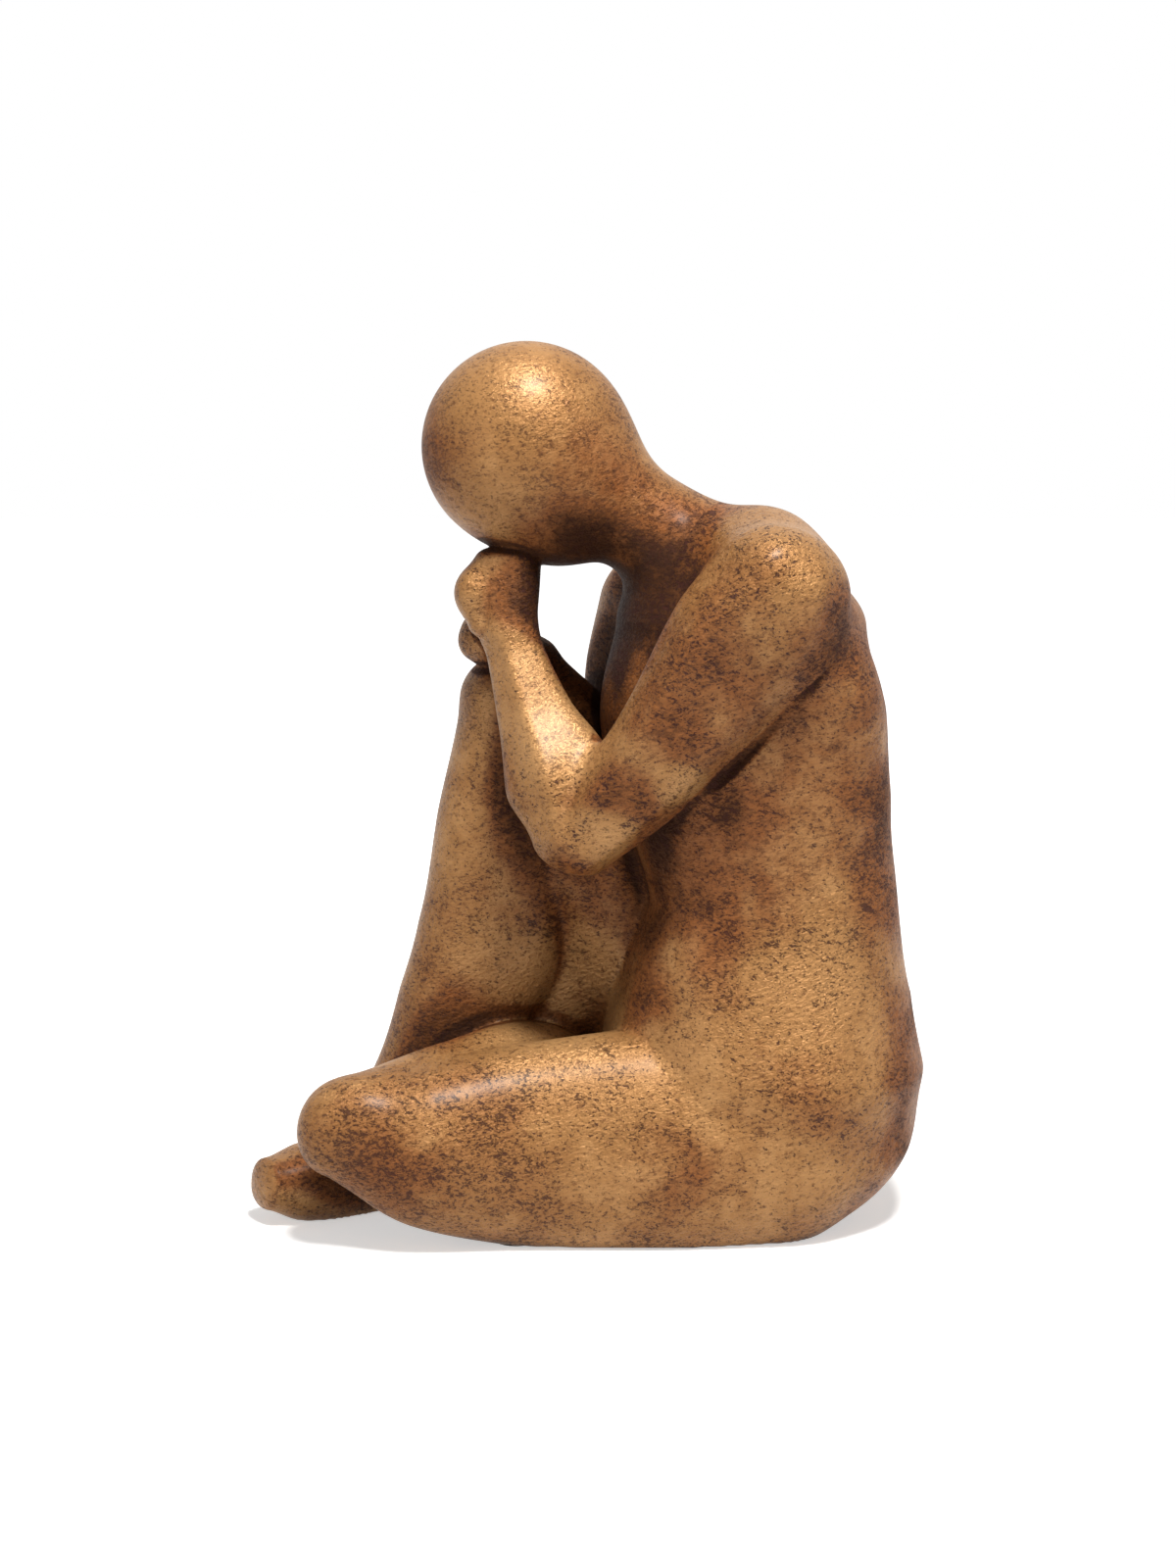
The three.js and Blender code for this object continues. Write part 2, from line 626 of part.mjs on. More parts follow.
// Quads cut in two along the shorter diagonal, unless an edge already joins its two points.
function halved(position, quads) {
  const point = (i) => new THREE.Vector3(...position.slice(3 * i, 3 * i + 3));
  const key = (a, b) => `${Math.min(a, b)},${Math.max(a, b)}`;
  const joined = new Set(quads.flatMap((q) => q.map((a, i) => key(a, q[(i + 1) % 4]))));
  const index = [];
  for (const [a, b, c, d] of quads) {
    const short = point(a).distanceTo(point(c)) < point(b).distanceTo(point(d));
    const first = joined.has(key(b, d)) || (short && !joined.has(key(a, c)));
    joined.add(first ? key(a, c) : key(b, d));
    index.push(...(first ? [a, b, c, a, c, d] : [b, c, d, b, d, a]));
  }
  return index;
}

// Where two sheets meet along a line, each is given its own copy of the points on it.
function partSheets(position, index) {
  const next = (h) => (h % 3 === 2 ? h - 2 : h + 1);
  const point = (i) => new THREE.Vector3(...position.slice(3 * i, 3 * i + 3));
  const normal = (h) => {
    const [a, b, c] = [h, next(h), next(next(h))].map((e) => point(index[e]));
    return b.sub(a).cross(c.sub(a)).normalize();
  };
  const byEnds = new Map();
  index.forEach((a, h) => {
    const key = `${a},${index[next(h)]}`;
    if (!byEnds.has(key)) byEnds.set(key, []);
    byEnds.get(key).push(h);
  });
  const twin = new Int32Array(index.length).fill(-1);
  for (const [key, list] of byEnds) {
    const back = [...byEnds.get(key.split(',').reverse().join(','))];
    for (const h of list) {
      if (twin[h] !== -1) continue;
      const free = back.filter((o) => twin[o] === -1);
      free.sort((p, q) => normal(q).dot(normal(h)) - normal(p).dot(normal(h)));
      twin[h] = free[0];
      twin[free[0]] = h;
    }
  }
  const vertex = new Int32Array(index.length).fill(-1);
  const points = [];
  index.forEach((v, start) => {
    if (vertex[start] !== -1) return;
    let h = start;
    do {
      vertex[h] = points.length / 3;
      h = next(twin[h]);
    } while (h !== start);
    points.push(...position.slice(3 * v, 3 * v + 3));
  });
  const g = new THREE.BufferGeometry();
  g.setAttribute('position', new THREE.Float32BufferAttribute(drawnApart(points, vertex), 3));
  g.setIndex([...vertex]);
  return g;
}

// Points that lie on one another are each drawn a little towards their own neighbours.
function drawnApart(points, index) {
  const spots = new Map();
  for (let i = 0; i < points.length / 3; i++) {
    const spot = [0, 1, 2].map((k) => points[3 * i + k].toFixed(4)).join();
    spots.set(spot, [...(spots.get(spot) ?? []), i]);
  }
  const crowded = [...spots.values()].filter((list) => list.length > 1).flat();
  const towards = new Map(crowded.map((i) => [i, new THREE.Vector3()]));
  const point = (i) => new THREE.Vector3(points[3 * i], points[3 * i + 1], points[3 * i + 2]);
  index.forEach((a, h) => {
    const b = index[h % 3 === 2 ? h - 2 : h + 1];
    towards.get(a)?.add(point(b).sub(point(a)));
  });
  const moved = Float32Array.from(points);
  for (const [i, way] of towards) point(i).addScaledVector(way.normalize(), PART).toArray(moved, 3 * i);
  return moved;
}

// The space round the figure: its joints, and room for the flesh on them.
const ROOM_LOW = [16, 34, 20];
const ROOM_HIGH = [62, 26, 42];
const places = Object.values(joint);
const box = {
  low: ROOM_LOW.map((room, k) => Math.min(...places.map((p) => p[k])) - room),
  high: ROOM_HIGH.map((room, k) => Math.max(...places.map((p) => p[k])) + room),
};
const facetSize = (count) => (box.high[2] - box.low[2]) / count;

// Castings as solids

const toGeometry = (solid) => {
  const m = solid.getMesh();
  const p = new Float32Array((m.vertProperties.length / m.numProp) * 3);
  for (let i = 0; i < p.length / 3; i++) {
    for (let k = 0; k < 3; k++) p[3 * i + k] = m.vertProperties[i * m.numProp + k];
  }
  const g = new THREE.BufferGeometry();
  g.setAttribute('position', new THREE.BufferAttribute(drawnApart(p, m.triVerts), 3));
  g.setIndex(new THREE.BufferAttribute(new Uint32Array(m.triVerts), 1));
  return g;
};
const toSolid = (geometry) => {
  let g = geometry;
  if (g.attributes.normal) {
    g = g.clone();
    g.deleteAttribute('normal');
    g.deleteAttribute('uv');
    g = mergeVertices(g, 1e-4);
  }
  return new Manifold(new Mesh({
    numProp: 3,
    vertProperties: Float32Array.from(g.attributes.position.array),
    triVerts: Uint32Array.from(g.index.array),
  }));
};

// A round bar between two points.
const bar = (from, to, radius, sides) => {
  const start = new THREE.Vector3(...from);
  const along = new THREE.Vector3(...to).sub(start);
  const g = new THREE.CylinderGeometry(radius, radius, along.length(), sides);
  g.applyQuaternion(new THREE.Quaternion().setFromUnitVectors(
    new THREE.Vector3(0, 1, 0), along.clone().normalize()));
  const middle = start.addScaledVector(along, 0.5);
  return g.translate(middle.x, middle.y, middle.z);
};
const upright = ([x, y], low, high, radius, sides) => bar([x, y, low], [x, y, high], radius, sides);

const names = Object.keys(castings);
const nearestOther = (name, x, y, z) => {
  let d = Infinity;
  for (const n of names) if (n !== name) d = Math.min(d, castings[n](x, y, z));
  return d;
};
const shareField = (name, x, y, z) => (castings[name](x, y, z) - nearestOther(name, x, y, z)) / 2;

// The space that belongs to one casting, drawn back or grown by each offset from its seams.
const shareSolids = (name, offsets) => {
  const closed = (x, y, z) => Math.max(shareField(name, x, y, z), x - box.high[0], box.low[0] - x,
    y - box.high[1], box.low[1] - y, z - box.high[2], box.low[2] - z);
  const cell = facetSize(SEAM_FACETS);
  const g = surfaceNet(closed, box.low.map((v) => v - cell / 2), box.high.map((v) => v + cell / 2), cell);
  const seam = g.attributes.position.array;
  const h = 0.1;
  const normals = [];
  for (let i = 0; i < seam.length; i += 3) {
    const [x, y, z] = [seam[i], seam[i + 1], seam[i + 2]];
    normals.push(...new THREE.Vector3(closed(x + h, y, z) - closed(x - h, y, z),
      closed(x, y + h, z) - closed(x, y - h, z), closed(x, y, z + h) - closed(x, y, z - h))
      .normalize().toArray());
  }
  return offsets.map((offset) => {
    const moved = g.clone();
    moved.attributes.position.array.forEach((v, i, p) => { p[i] = v + normals[i] * offset; });
    return toSolid(moved);
  });
};

const largest = (solid) => {
  const parts = solid.decompose();
  parts.sort((a, b) => b.volume() - a.volume());
  return parts[0];
};

// The whole skin with so many facets up its height, cut flat underneath.
const wide = box.high[0] - box.low[0];
const deep = -box.low[2];
const slab = new THREE.BoxGeometry(2 * wide, 2 * wide, 2 * deep).translate(0, 0, GROUND - deep);
const underside = toSolid(slab);
const skins = new Map();
const skinOf = (count) => {
  if (!skins.has(count)) {
    const skin = toSolid(surfaceNet(figureField, box.low, box.high, facetSize(count)));
    skins.set(count, skin.subtract(underside));
  }
  return skins.get(count);
};

// Each casting keeps its own share of the skin, and the torso keeps what is left near it.
const solids = {};
const taken = [];
for (const name of ['head', 'left_arm', 'right_arm', 'left_leg', 'right_leg']) {
  const [kept, cleared] = shareSolids(name, [-GAP / 2, GAP / 2]);
  let solid = skinOf(facets[name]).intersect(kept);
  for (const other of taken) solid = solid.subtract(other);
  solids[name] = largest(solid);
  taken.push(cleared.add(kept));
}
const STRAY = 3;
let rest = skinOf(facets.torso).intersect(shareSolids('torso', [STRAY])[0]);
for (const other of taken) rest = rest.subtract(other);
solids.torso = largest(rest);

// Steel pins: each one crosses the seam between two castings, half of it in each.
// [first casting, second casting, a point in the first, a point in the second]
const pins = {
  neck_pin: ['torso', 'head', off(J.neckBase, 4, 0, -12), off(J.neck, -9, -1, 5)],
  left_shoulder_pin: ['torso', 'left_arm', off(J.leftShoulder, -7, 30, -17), off(J.leftShoulder, 1, -8, -3)],
  right_shoulder_pin: ['torso', 'right_arm',
    off(J.rightShoulder, 14, -28, -15), off(J.rightShoulder, -2, 6, -1)],
  left_hip_pin: ['torso', 'left_leg', off(J.leftHip, 10, 19, 25), off(J.leftHip, -16, -21, -3)],
  right_hip_pin: ['torso', 'right_leg', off(J.rightHip, 20, -24, 6), off(J.rightHip, -18, 2, 18)],
  chin_pin: ['head', 'left_arm', off(J.jaw, -8.7, -2, -2), off(J.leftHand, 3.3, 0, -3.5)],
  fist_pin: ['left_arm', 'right_arm', off(J.leftHand, 1.5, -4.5, -6), off(J.rightHand, -0.3, 2.5, -3)],
  knee_pin: ['right_arm', 'right_leg', off(J.rightHand, 1.5, 6.5, 1), off(J.rightKnee, 2, 2, -5)],
};
const pinLine = {};
for (const [name, [first, second, from, to]] of Object.entries(pins)) {
  const a = new THREE.Vector3(...from);
  const b = new THREE.Vector3(...to);
  const along = b.clone().sub(a).normalize();
  for (let i = 0; i < 40; i++) {
    const m = a.clone().lerp(b, 0.5);
    if (castings[first](m.x, m.y, m.z) < castings[second](m.x, m.y, m.z)) a.copy(m);
    else b.copy(m);
  }
  const [radius, length] = pinSize[name];
  const reach = (half) => [-half, half].map((s) => a.clone().addScaledVector(along, s).toArray());
  const bore = toSolid(bar(...reach(length / 2 + PIN_END_PLAY), radius + PIN_PLAY, PIN_SIDES));
  solids[first] = solids[first].subtract(bore);
  solids[second] = solids[second].subtract(bore);
  pinLine[name] = reach(length / 2);
}

// The torso is cast hollow, with solid bosses round its pins and a pour hole in the seat.
const bosses = Object.keys(pins).filter((name) => pins[name][0] === 'torso').map((name) => {
  const [start, end] = pinLine[name].map((p) => new THREE.Vector3(...p));
  return [new THREE.Line3(start, end), pinSize[name][0] + BOSS_WALL];
});
const probe = new THREE.Vector3();
const nearest = new THREE.Vector3();
const cavityField = (x, y, z) => {
  let d = Math.max(figureField(x, y, z), shareField('torso', x, y, z)) + WALL;
  d = Math.max(d, GROUND + WALL - z, z - CAVITY_TOP);
  probe.set(x, y, z);
  for (const [axis, keep] of bosses) {
    axis.closestPointToPoint(probe, true, nearest);
    d = Math.max(d, keep - nearest.distanceTo(probe));
  }
  return d;
};
const cavityCell = facetSize(CAVITY_FACETS);
const cavity = largest(toSolid(surfaceNet(cavityField, box.low, box.high, cavityCell)));
const plugAt = off(J.seat, -3.5, 0, 0);
const pourHole = toSolid(
  upright(plugAt, GROUND - WALL, GROUND + 2 * WALL, plug.radius + plug.play, plug.sides));
solids.torso = solids.torso.subtract(cavity).subtract(pourHole);

// Felt pads, each in a shallow round seat in the underside of its casting.
const pads = {
  left_thigh_pad: ['left_leg', between(J.leftHip, J.leftKnee, 0.63, -0.4, 1, 0)],
  left_hip_pad: ['left_leg', off(J.leftHip, -8, -7, 0)],
  left_foot_pad: ['left_leg', between(J.leftAnkle, J.leftToe, 0.3, 1.6, -0.4, 0)],
  seat_pad: ['torso', off(J.seat, 18, -4, 0)],
  right_foot_pad: ['right_leg', between(J.rightHeel, J.rightToe, 0.3, 0.4, -3.4, 0)],
};
for (const [name, [host, at]] of Object.entries(pads)) {
  const seat = upright(at, -PAD_THICK, PAD_THICK + PAD_PLAY, padRadius[name] + PAD_PLAY, PAD_SIDES);
  solids[host] = solids[host].subtract(toSolid(seat));
}

// The assembly

const resin = { color: 0x8a5a2b, roughness: 0.42, metalness: 0.55 };
const steel = { color: 0x9a9a98, roughness: 0.35, metalness: 1 };
const stopper = { color: 0x2a2624, roughness: 0.7, metalness: 0 };
const felt = { color: 0x1f1c1a, roughness: 0.95, metalness: 0 };

const figure = new THREE.Group();
figure.name = 'crouching_figure';
const add = (name, geometry, look) => {
  const mesh = new THREE.Mesh(geometry, new THREE.MeshStandardMaterial(look));
  mesh.name = name;
  figure.add(mesh);
};
for (const name of names) add(name, toGeometry(solids[name]), resin);
for (const [name, ends] of Object.entries(pinLine)) {
  add(name, bar(...ends, pinSize[name][0], PIN_SIDES), steel);
}
add('seat_plug', upright(plugAt, GROUND, GROUND + plug.thick, plug.radius, plug.sides), stopper);
for (const [name, [, at]] of Object.entries(pads)) {
  add(name, upright(at, 0, PAD_THICK, padRadius[name], PAD_SIDES), felt);
}

export default figure;
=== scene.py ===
# %% [markdown]
# A seated figure in cast resin, about 27 cm tall, with one knee raised and its chin on its fists.
# The real figure is six resin castings, glued and pinned together and painted antique gold. The
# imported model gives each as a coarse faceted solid. Here each is made again as a smooth fine
# surface in the same place, and painted.

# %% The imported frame
import math

import bmesh
import bpy
import numpy as np
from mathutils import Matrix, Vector


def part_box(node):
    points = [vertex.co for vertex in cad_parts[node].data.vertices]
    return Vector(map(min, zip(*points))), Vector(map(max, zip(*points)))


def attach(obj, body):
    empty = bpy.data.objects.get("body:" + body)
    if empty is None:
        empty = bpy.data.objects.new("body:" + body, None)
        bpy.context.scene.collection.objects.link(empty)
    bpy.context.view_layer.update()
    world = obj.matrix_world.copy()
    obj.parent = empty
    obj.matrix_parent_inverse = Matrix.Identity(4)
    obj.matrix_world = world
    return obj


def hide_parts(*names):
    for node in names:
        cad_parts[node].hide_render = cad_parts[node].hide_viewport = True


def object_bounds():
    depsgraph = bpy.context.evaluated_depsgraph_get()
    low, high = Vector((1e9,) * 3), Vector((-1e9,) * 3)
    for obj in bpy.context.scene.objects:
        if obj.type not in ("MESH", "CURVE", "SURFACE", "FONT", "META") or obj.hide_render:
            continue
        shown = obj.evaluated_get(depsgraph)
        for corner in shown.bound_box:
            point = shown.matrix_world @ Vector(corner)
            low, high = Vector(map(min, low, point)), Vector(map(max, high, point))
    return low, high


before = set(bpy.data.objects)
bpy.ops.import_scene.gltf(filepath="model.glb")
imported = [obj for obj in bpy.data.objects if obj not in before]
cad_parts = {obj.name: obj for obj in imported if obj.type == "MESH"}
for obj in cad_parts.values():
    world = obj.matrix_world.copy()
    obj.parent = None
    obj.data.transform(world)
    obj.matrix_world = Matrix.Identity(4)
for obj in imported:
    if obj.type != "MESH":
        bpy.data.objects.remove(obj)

MM = 0.001
cad_low, cad_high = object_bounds()
print("CAD box in mm:", [round(v / MM, 1) for v in (*cad_low, *cad_high)])

# %% [markdown]
# The camera comes first, because all else is judged through it. The photograph was taken from a
# little above the figure's middle. It is taller than it is wide, so the sensor's 36 mm lie along
# its height.

# %% Camera
VIEW_HEIGHT = 136.5
VIEW_DISTANCE = 800.0
VIEW_ANGLE = math.radians(8.0)
LENS = 58.635
SENSOR = 36.0



def show(name, data):
    """A new object in the scene, with this data."""
    made = bpy.data.objects.new(name, data)
    bpy.context.scene.collection.objects.link(made)
    return made


camera_data = bpy.data.cameras.new("camera")
camera_data.lens = LENS
camera_data.sensor_width = SENSOR
camera = show("camera", camera_data)
look = Vector((0.0, math.cos(VIEW_ANGLE), -math.sin(VIEW_ANGLE)))
camera.location = (Vector((0.0, 0.0, VIEW_HEIGHT)) - look * VIEW_DISTANCE) * MM
camera.rotation_euler = look.to_track_quat("-Z", "Y").to_euler()
bpy.context.scene.camera = camera
print("camera at", [round(v, 3) for v in camera.location])

# %% [markdown]
# The body is described by its joints, in millimetres: x towards its back, y away from the shown
# side, z up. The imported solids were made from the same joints, so the fine surface falls on them.

# %% Joints
joint = {
    "seat": (57.5, 2, 22),
    "pelvis": (55, 2, 47),
    "waist": (57.5, 0, 102),
    "flank": (36, -47, 106),
    "chest": (47.5, 1.5, 160),
    "neck_base": (40, 0, 198),
    "neck": (13.8, 0, 220.2),
    "head": (-18.8, -1, 241.3),
    "jaw": (-8.3, -1, 231),
    "left_shoulder": (57, -46, 203),
    "left_elbow": (-3.5, -34, 123),
    "left_wrist": (-24, -11, 184),
    "left_hand": (-28.3, -5.5, 200.5),
    "right_shoulder": (24, 46, 188),
    "right_elbow": (10, 41, 131),
    "right_wrist": (-18, 18, 172),
    "right_hand": (-31.7, 2.5, 182.6),
    "left_hip": (54, -25, 31),
    "left_knee": (-66, -41, 34),
    "left_ankle": (2, 28, 14),
    "left_toe": (30, 56, 7),
    "right_hip": (44, 28, 38),
    "right_knee": (-27, 9, 161),
    "right_ankle": (-58, 15, 40),
    "right_heel": (-52, 15, 10),
    "right_toe": (-100.3, -17.5, 12.5),
}
joint = {name: np.array(place, float) for name, place in joint.items()}

# %% [markdown]
# Half sizes go with the joints: width and depth across a limb, or the length, width and height of
# an egg. The fillets say how far the skin is rounded where two forms meet.

# %% Girths and fillets
girth = {
    "seat": (45, 47),
    "pelvis": (50, 51),
    "loin": (43, 45.4),
    "waist": (37, 38.6),
    "ribs": (40, 39.9),
    "chest": (43.5, 42.5),
    "upper_back": (42, 36),
    "flank": (20, 12, 32),
    "underarm": (2.2, 2.2),
    "underarm_end": (1.2, 1.2),
    "backbone": (8, 7),
    "backbone_end": (7, 7),
    "yoke_left": (15, 17),
    "collar_left": (21, 20),
    "collar": (20.3, 22),
    "collar_right": (18, 18),
    "yoke_right": (13, 14),
    "blade_top": (13, 13),
    "blade": (15, 15),
    "blade_low": (15, 11),
    "neck_root": (22, 23),
    "neck_middle": (19, 18),
    "neck": (18.3, 16.5),
    "nape": (20.8, 19),
    "skull": (32.3, 27, 32),
    "jaw": (25, 20, 26),
    "left_shoulder": (16.8, 16.5),
    "left_upper_arm": (24, 16),
    "left_lower_arm": (17.6, 14),
    "left_arm_end": (14, 12),
    "left_elbow": (11.5, 10),
    "left_forearm_end": (12.5, 10),
    "left_forearm": (17, 14.5),
    "left_forearm_thin": (11.6, 10.5),
    "left_wrist": (8.3, 8.5),
    "left_fist": (10.2, 10.5),
    "left_knuckles": (4.5, 6.5),
    "left_fingers": (6.5, 8.5),
    "left_fingertips": (4, 6),
    "right_shoulder": (20, 19),
    "right_upper_arm": (20, 17),
    "right_lower_arm": (16.5, 13),
    "right_elbow": (13, 11),
    "right_forearm": (14.3, 11),
    "right_wrist": (9, 8.5),
    "right_fist": (8.6, 9.2),
    "left_hip": (36, 25),
    "left_thigh": (35.5, 22.5),
    "left_thigh_thin": (31, 20),
    "left_knee_top": (24.2, 17),
    "left_knee_end": (14.5, 12),
    "left_calf_top": (17, 15),
    "left_calf": (19.5, 17),
    "left_calf_crest": (20.5, 18),
    "left_shin": (14.5, 14),
    "left_ankle": (11, 11),
    "left_heel": (12, 12),
    "left_sole": (10, 12),
    "left_toe": (7, 9),
    "right_hip": (28, 32),
    "right_thigh": (24, 28),
    "right_thigh_thin": (19, 22),
    "right_knee": (15.5, 13),
    "right_calf": (17.5, 19.9),
    "right_calf_full": (18, 24.5),
    "right_shin": (16, 20),
    "right_ankle": (12, 12),
    "right_web_top": (15, 14),
    "right_web": (15, 18),
    "right_web_foot": (14, 19),
    "right_heel": (12, 12.5),
    "right_sole": (13, 15),
    "right_ball": (13, 12),
    "right_toe": (9, 8),
}
fillet = {
    "yoke": 22,
    "blade": 20,
    "backbone": 12,
    "underarm": 2,
    "flank": 8,
    "bevel": 8,
    "jaw": 12,
    "nape": 10,
    "collar": 14,
    "wrist": 5,
    "fingers": 3,
    "crook": 7,
    "left_knee": 6,
    "left_instep": 6,
    "web": 16,
    "right_knee": 3,
    "right_instep": 8,
    "crease": 3,
    "hip": 26,
    "crotch": 6,
    "arm_touch": 1.2,
    "shoulder": 18,
}
print(len(girth), "girths and", len(fillet), "fillets")

# %% [markdown]
# A sculptor rolls a limb from clay as a tube that swells and narrows, then smooths it into the
# next. Where six limbs run together, the faces of a polygon cage get tangled. A distance field
# has no faces: it says how far a point is from the skin, below zero inside, and one formula
# smooths two of them together.

# %% Blending fields
def mix(a, b, t):
    return a + (b - a) * t


def smooth(edge0, edge1, v):
    t = np.clip((v - edge0) / (edge1 - edge0), 0.0, 1.0)
    return t * t * (3.0 - 2.0 * t)


def blend(a, b, reach):
    h = np.maximum(reach - np.abs(a - b), 0.0) / reach
    return np.minimum(a, b) - h * h * h * reach / 6.0


def carve(a, b, reach):
    return -blend(-a, -b, reach)


print("where two skins cross, a 6 mm blend adds", -float(blend(0.0, 0.0, 6.0)), "mm")

# %% [markdown]
# A limb follows a smooth curve through its stations. Each station has a place, the name of its
# girth and, where it isn't an oval, a squareness: 2 is an oval, 3 is nearly a rounded box.

# %% Smooth curves
def unit(v):
    return v / np.linalg.norm(v, axis=-1, keepdims=True)


def span_at(rows, t):
    """Which span between the rows each t from 0 to 1 lies in, and how far along it."""
    count = len(rows) - 1
    span = np.clip((t * count).astype(int), 0, count - 1)
    return span, (t * count - span)[:, None]


def curve_at(points, t):
    """A centripetal curve through the points, at each t from 0 to 1."""
    padded = np.vstack([2 * points[0] - points[1], points, 2 * points[-1] - points[-2]])
    span, w = span_at(points, t)
    p0, p1, p2, p3 = (padded[span + k] for k in range(4))
    pairs = ((p0, p1), (p1, p2), (p2, p3))
    s0, s1, s2 = (np.linalg.norm(b - a, axis=1, keepdims=True) ** 0.5 for a, b in pairs)
    start = ((p1 - p0) / s0 - (p2 - p0) / (s0 + s1) + (p2 - p1) / s1) * s1
    end = ((p2 - p1) / s1 - (p3 - p1) / (s1 + s2) + (p3 - p2) / s2) * s1
    square = -3 * p1 + 3 * p2 - 2 * start - end
    cubic = 2 * p1 - 2 * p2 + start + end
    return p1 + start * w + square * w**2 + cubic * w**3


def sizes_at(sizes, t):
    """Half width, half depth and squareness between the stations."""
    span, f = span_at(sizes, t)
    p0, p1, p2, p3 = (sizes[np.clip(span + k, 0, len(sizes) - 1)] for k in (-1, 0, 1, 2))
    m1, m2 = (p2 - p0) / 2, (p3 - p1) / 2
    f2, f3 = f**2, f**3
    first = (2 * f3 - 3 * f2 + 1) * p1 + (f3 - 2 * f2 + f) * m1
    return first + (3 * f2 - 2 * f3) * p2 + (f3 - f2) * m2


print("curve helpers ready")

# %% [markdown]
# The field of a limb finds the place on its curve that a point lies beside, then measures the
# point across the oval there. The place comes from the planes square to the curve, which give an
# even surface, while the nearest point on a chain of straight bits jumps from bit to bit. Flat
# planes can be cut along a limb, as with a knife, and leave crisp ridges. Most points are far
# from most limbs, so each limb answers only near itself.

# %% Limb field
FAR = 60.0  # what a field says where it isn't worked out
LIMB_REACH = 34.0  # how far out a limb answers
STEPS = 8  # coarse rings from one station to the next
FINE = 8  # fine rings in each of those steps
CRISP = 16  # how sharp the edge of a knife plane is
OVAL = 2.0
NUDGE = 1e-4
SMALL = 1e-6
TINY = 1e-9


def limb(stations, side, end_round=1.0, planes=()):
    """The field of an oval tube. The width of each station lies along the side direction.
    Each plane is an angle round the tube from there, and a distance as a share of the size."""
    points = np.array([joint[s[0]] if isinstance(s[0], str) else s[0] for s in stations], float)
    sizes = np.array([(*girth[s[1]], s[2] if len(s) > 2 else OVAL) for s in stations], float)
    count = (len(stations) - 1) * STEPS
    t = np.arange(count * FINE + 1) / (count * FINE)
    centre = curve_at(points, t)
    before, beyond = np.maximum(t - NUDGE, 0.0), np.minimum(t + NUDGE, 1.0)
    along = unit(curve_at(points, beyond) - curve_at(points, before))
    sides = np.array(side if isinstance(side, list) else [side, side], float)
    span, f = span_at(sides, t)
    sideways = unit(mix(sides[span], sides[span + 1], f))
    across = unit(sideways - along * np.sum(sideways * along, axis=1, keepdims=True))
    rings = np.hstack([centre, along, across, np.cross(along, across), sizes_at(sizes, t)])
    room = sizes[:, :2].max() + LIMB_REACH
    low, high = centre.min(axis=0) - room, centre.max(axis=0) + room
    knot, way = centre[::FINE], along[::FINE]
    knot32 = knot.astype(np.float32)
    knot2 = np.sum(knot32 * knot32, axis=1)

    def ahead(p, ring):
        return np.sum((p - knot[ring]) * way[ring], axis=1)

    def distance(p):
        close = np.argmin(knot2 - 2 * (p.astype(np.float32) @ knot32.T), axis=1)
        seg = np.clip(close - (ahead(p, close) < 0), 0, count - 1)
        before, after = ahead(p, seg), ahead(p, seg + 1)
        seg = np.clip(seg - (before < 0) + (after > 0), 0, count - 1)
        before, after = np.maximum(ahead(p, seg), 0), np.minimum(ahead(p, seg + 1), 0)
        place = (seg + before / np.maximum(before - after, TINY)) * FINE
        fine = np.minimum(place.astype(int), count * FINE - 1)
        r = rings[fine] + (rings[fine + 1] - rings[fine]) * (place - fine)[:, None]
        d = p - r[:, :3]
        w, h, q = r[:, 12], r[:, 13], r[:, 14]
        cap = end_round * np.minimum(w, h)
        pu = np.sum(d * r[:, 6:9], axis=1) / w
        pv = np.sum(d * r[:, 9:12], axis=1) / h
        ps = np.sum(d * r[:, 3:6], axis=1) / cap
        m = np.maximum((np.abs(pu) ** q + np.abs(pv) ** q) ** (1 / q), TINY)
        gu = np.sign(pu) * (np.abs(pu) / m) ** (q - 1)
        gv = np.sign(pv) * (np.abs(pv) / m) ** (q - 1)
        for angle, share in planes:
            c, s = math.cos(math.radians(angle)) / share, math.sin(math.radians(angle)) / share
            flat = np.maximum(pu * c + pv * s, 0)
            both = (m**CRISP + flat**CRISP) ** (1 / CRISP)
            keep, cut = (m / both) ** (CRISP - 1), (flat / both) ** (CRISP - 1)
            m, gu, gv = both, gu * keep + c * cut, gv * keep + s * cut
        k0 = np.maximum(np.hypot(m, ps), SMALL)
        slope = np.sqrt((m * gu / w) ** 2 + (m * gv / h) ** 2 + (ps / cap) ** 2) / k0
        return (k0 - 1) / np.maximum(slope, SMALL)

    def field(p):
        out = np.full(len(p), FAR)
        near = np.all((p > low) & (p < high), axis=1)
        if near.any():
            out[near] = distance(p[near])
        return out

    return field


def egg(centre, radii, turn):
    """The field of an ellipsoid turned about the upright axis by so many degrees."""
    c, s = math.cos(math.radians(turn)), math.sin(math.radians(turn))
    radii = np.array(radii, float)

    def field(p):
        d = p - centre
        local = np.stack([c * d[:, 0] + s * d[:, 1], c * d[:, 1] - s * d[:, 0], d[:, 2]], axis=1)
        k0 = np.linalg.norm(local / radii, axis=1)
        k1 = np.maximum(np.linalg.norm(local / radii**2, axis=1), SMALL)
        return k0 * (k0 - 1) / k1

    return field


def joined(first, *others):
    """One field from several, each blended on over the fillet of that name."""
    def field(p):
        found = first(p)
        for other, name in others:
            found = blend(found, other(p), fillet[name])
        return found

    return field


def yaw(degrees):
    return (math.sin(math.radians(degrees)), -math.cos(math.radians(degrees)), 0.0)


def off(name, dx, dy, dz):
    return joint[name] + (dx, dy, dz)


def between(a, b, t, dx=0.0, dy=0.0, dz=0.0):
    return mix(joint[a], joint[b], t) + (dx, dy, dz)


print("limb and egg fields ready")

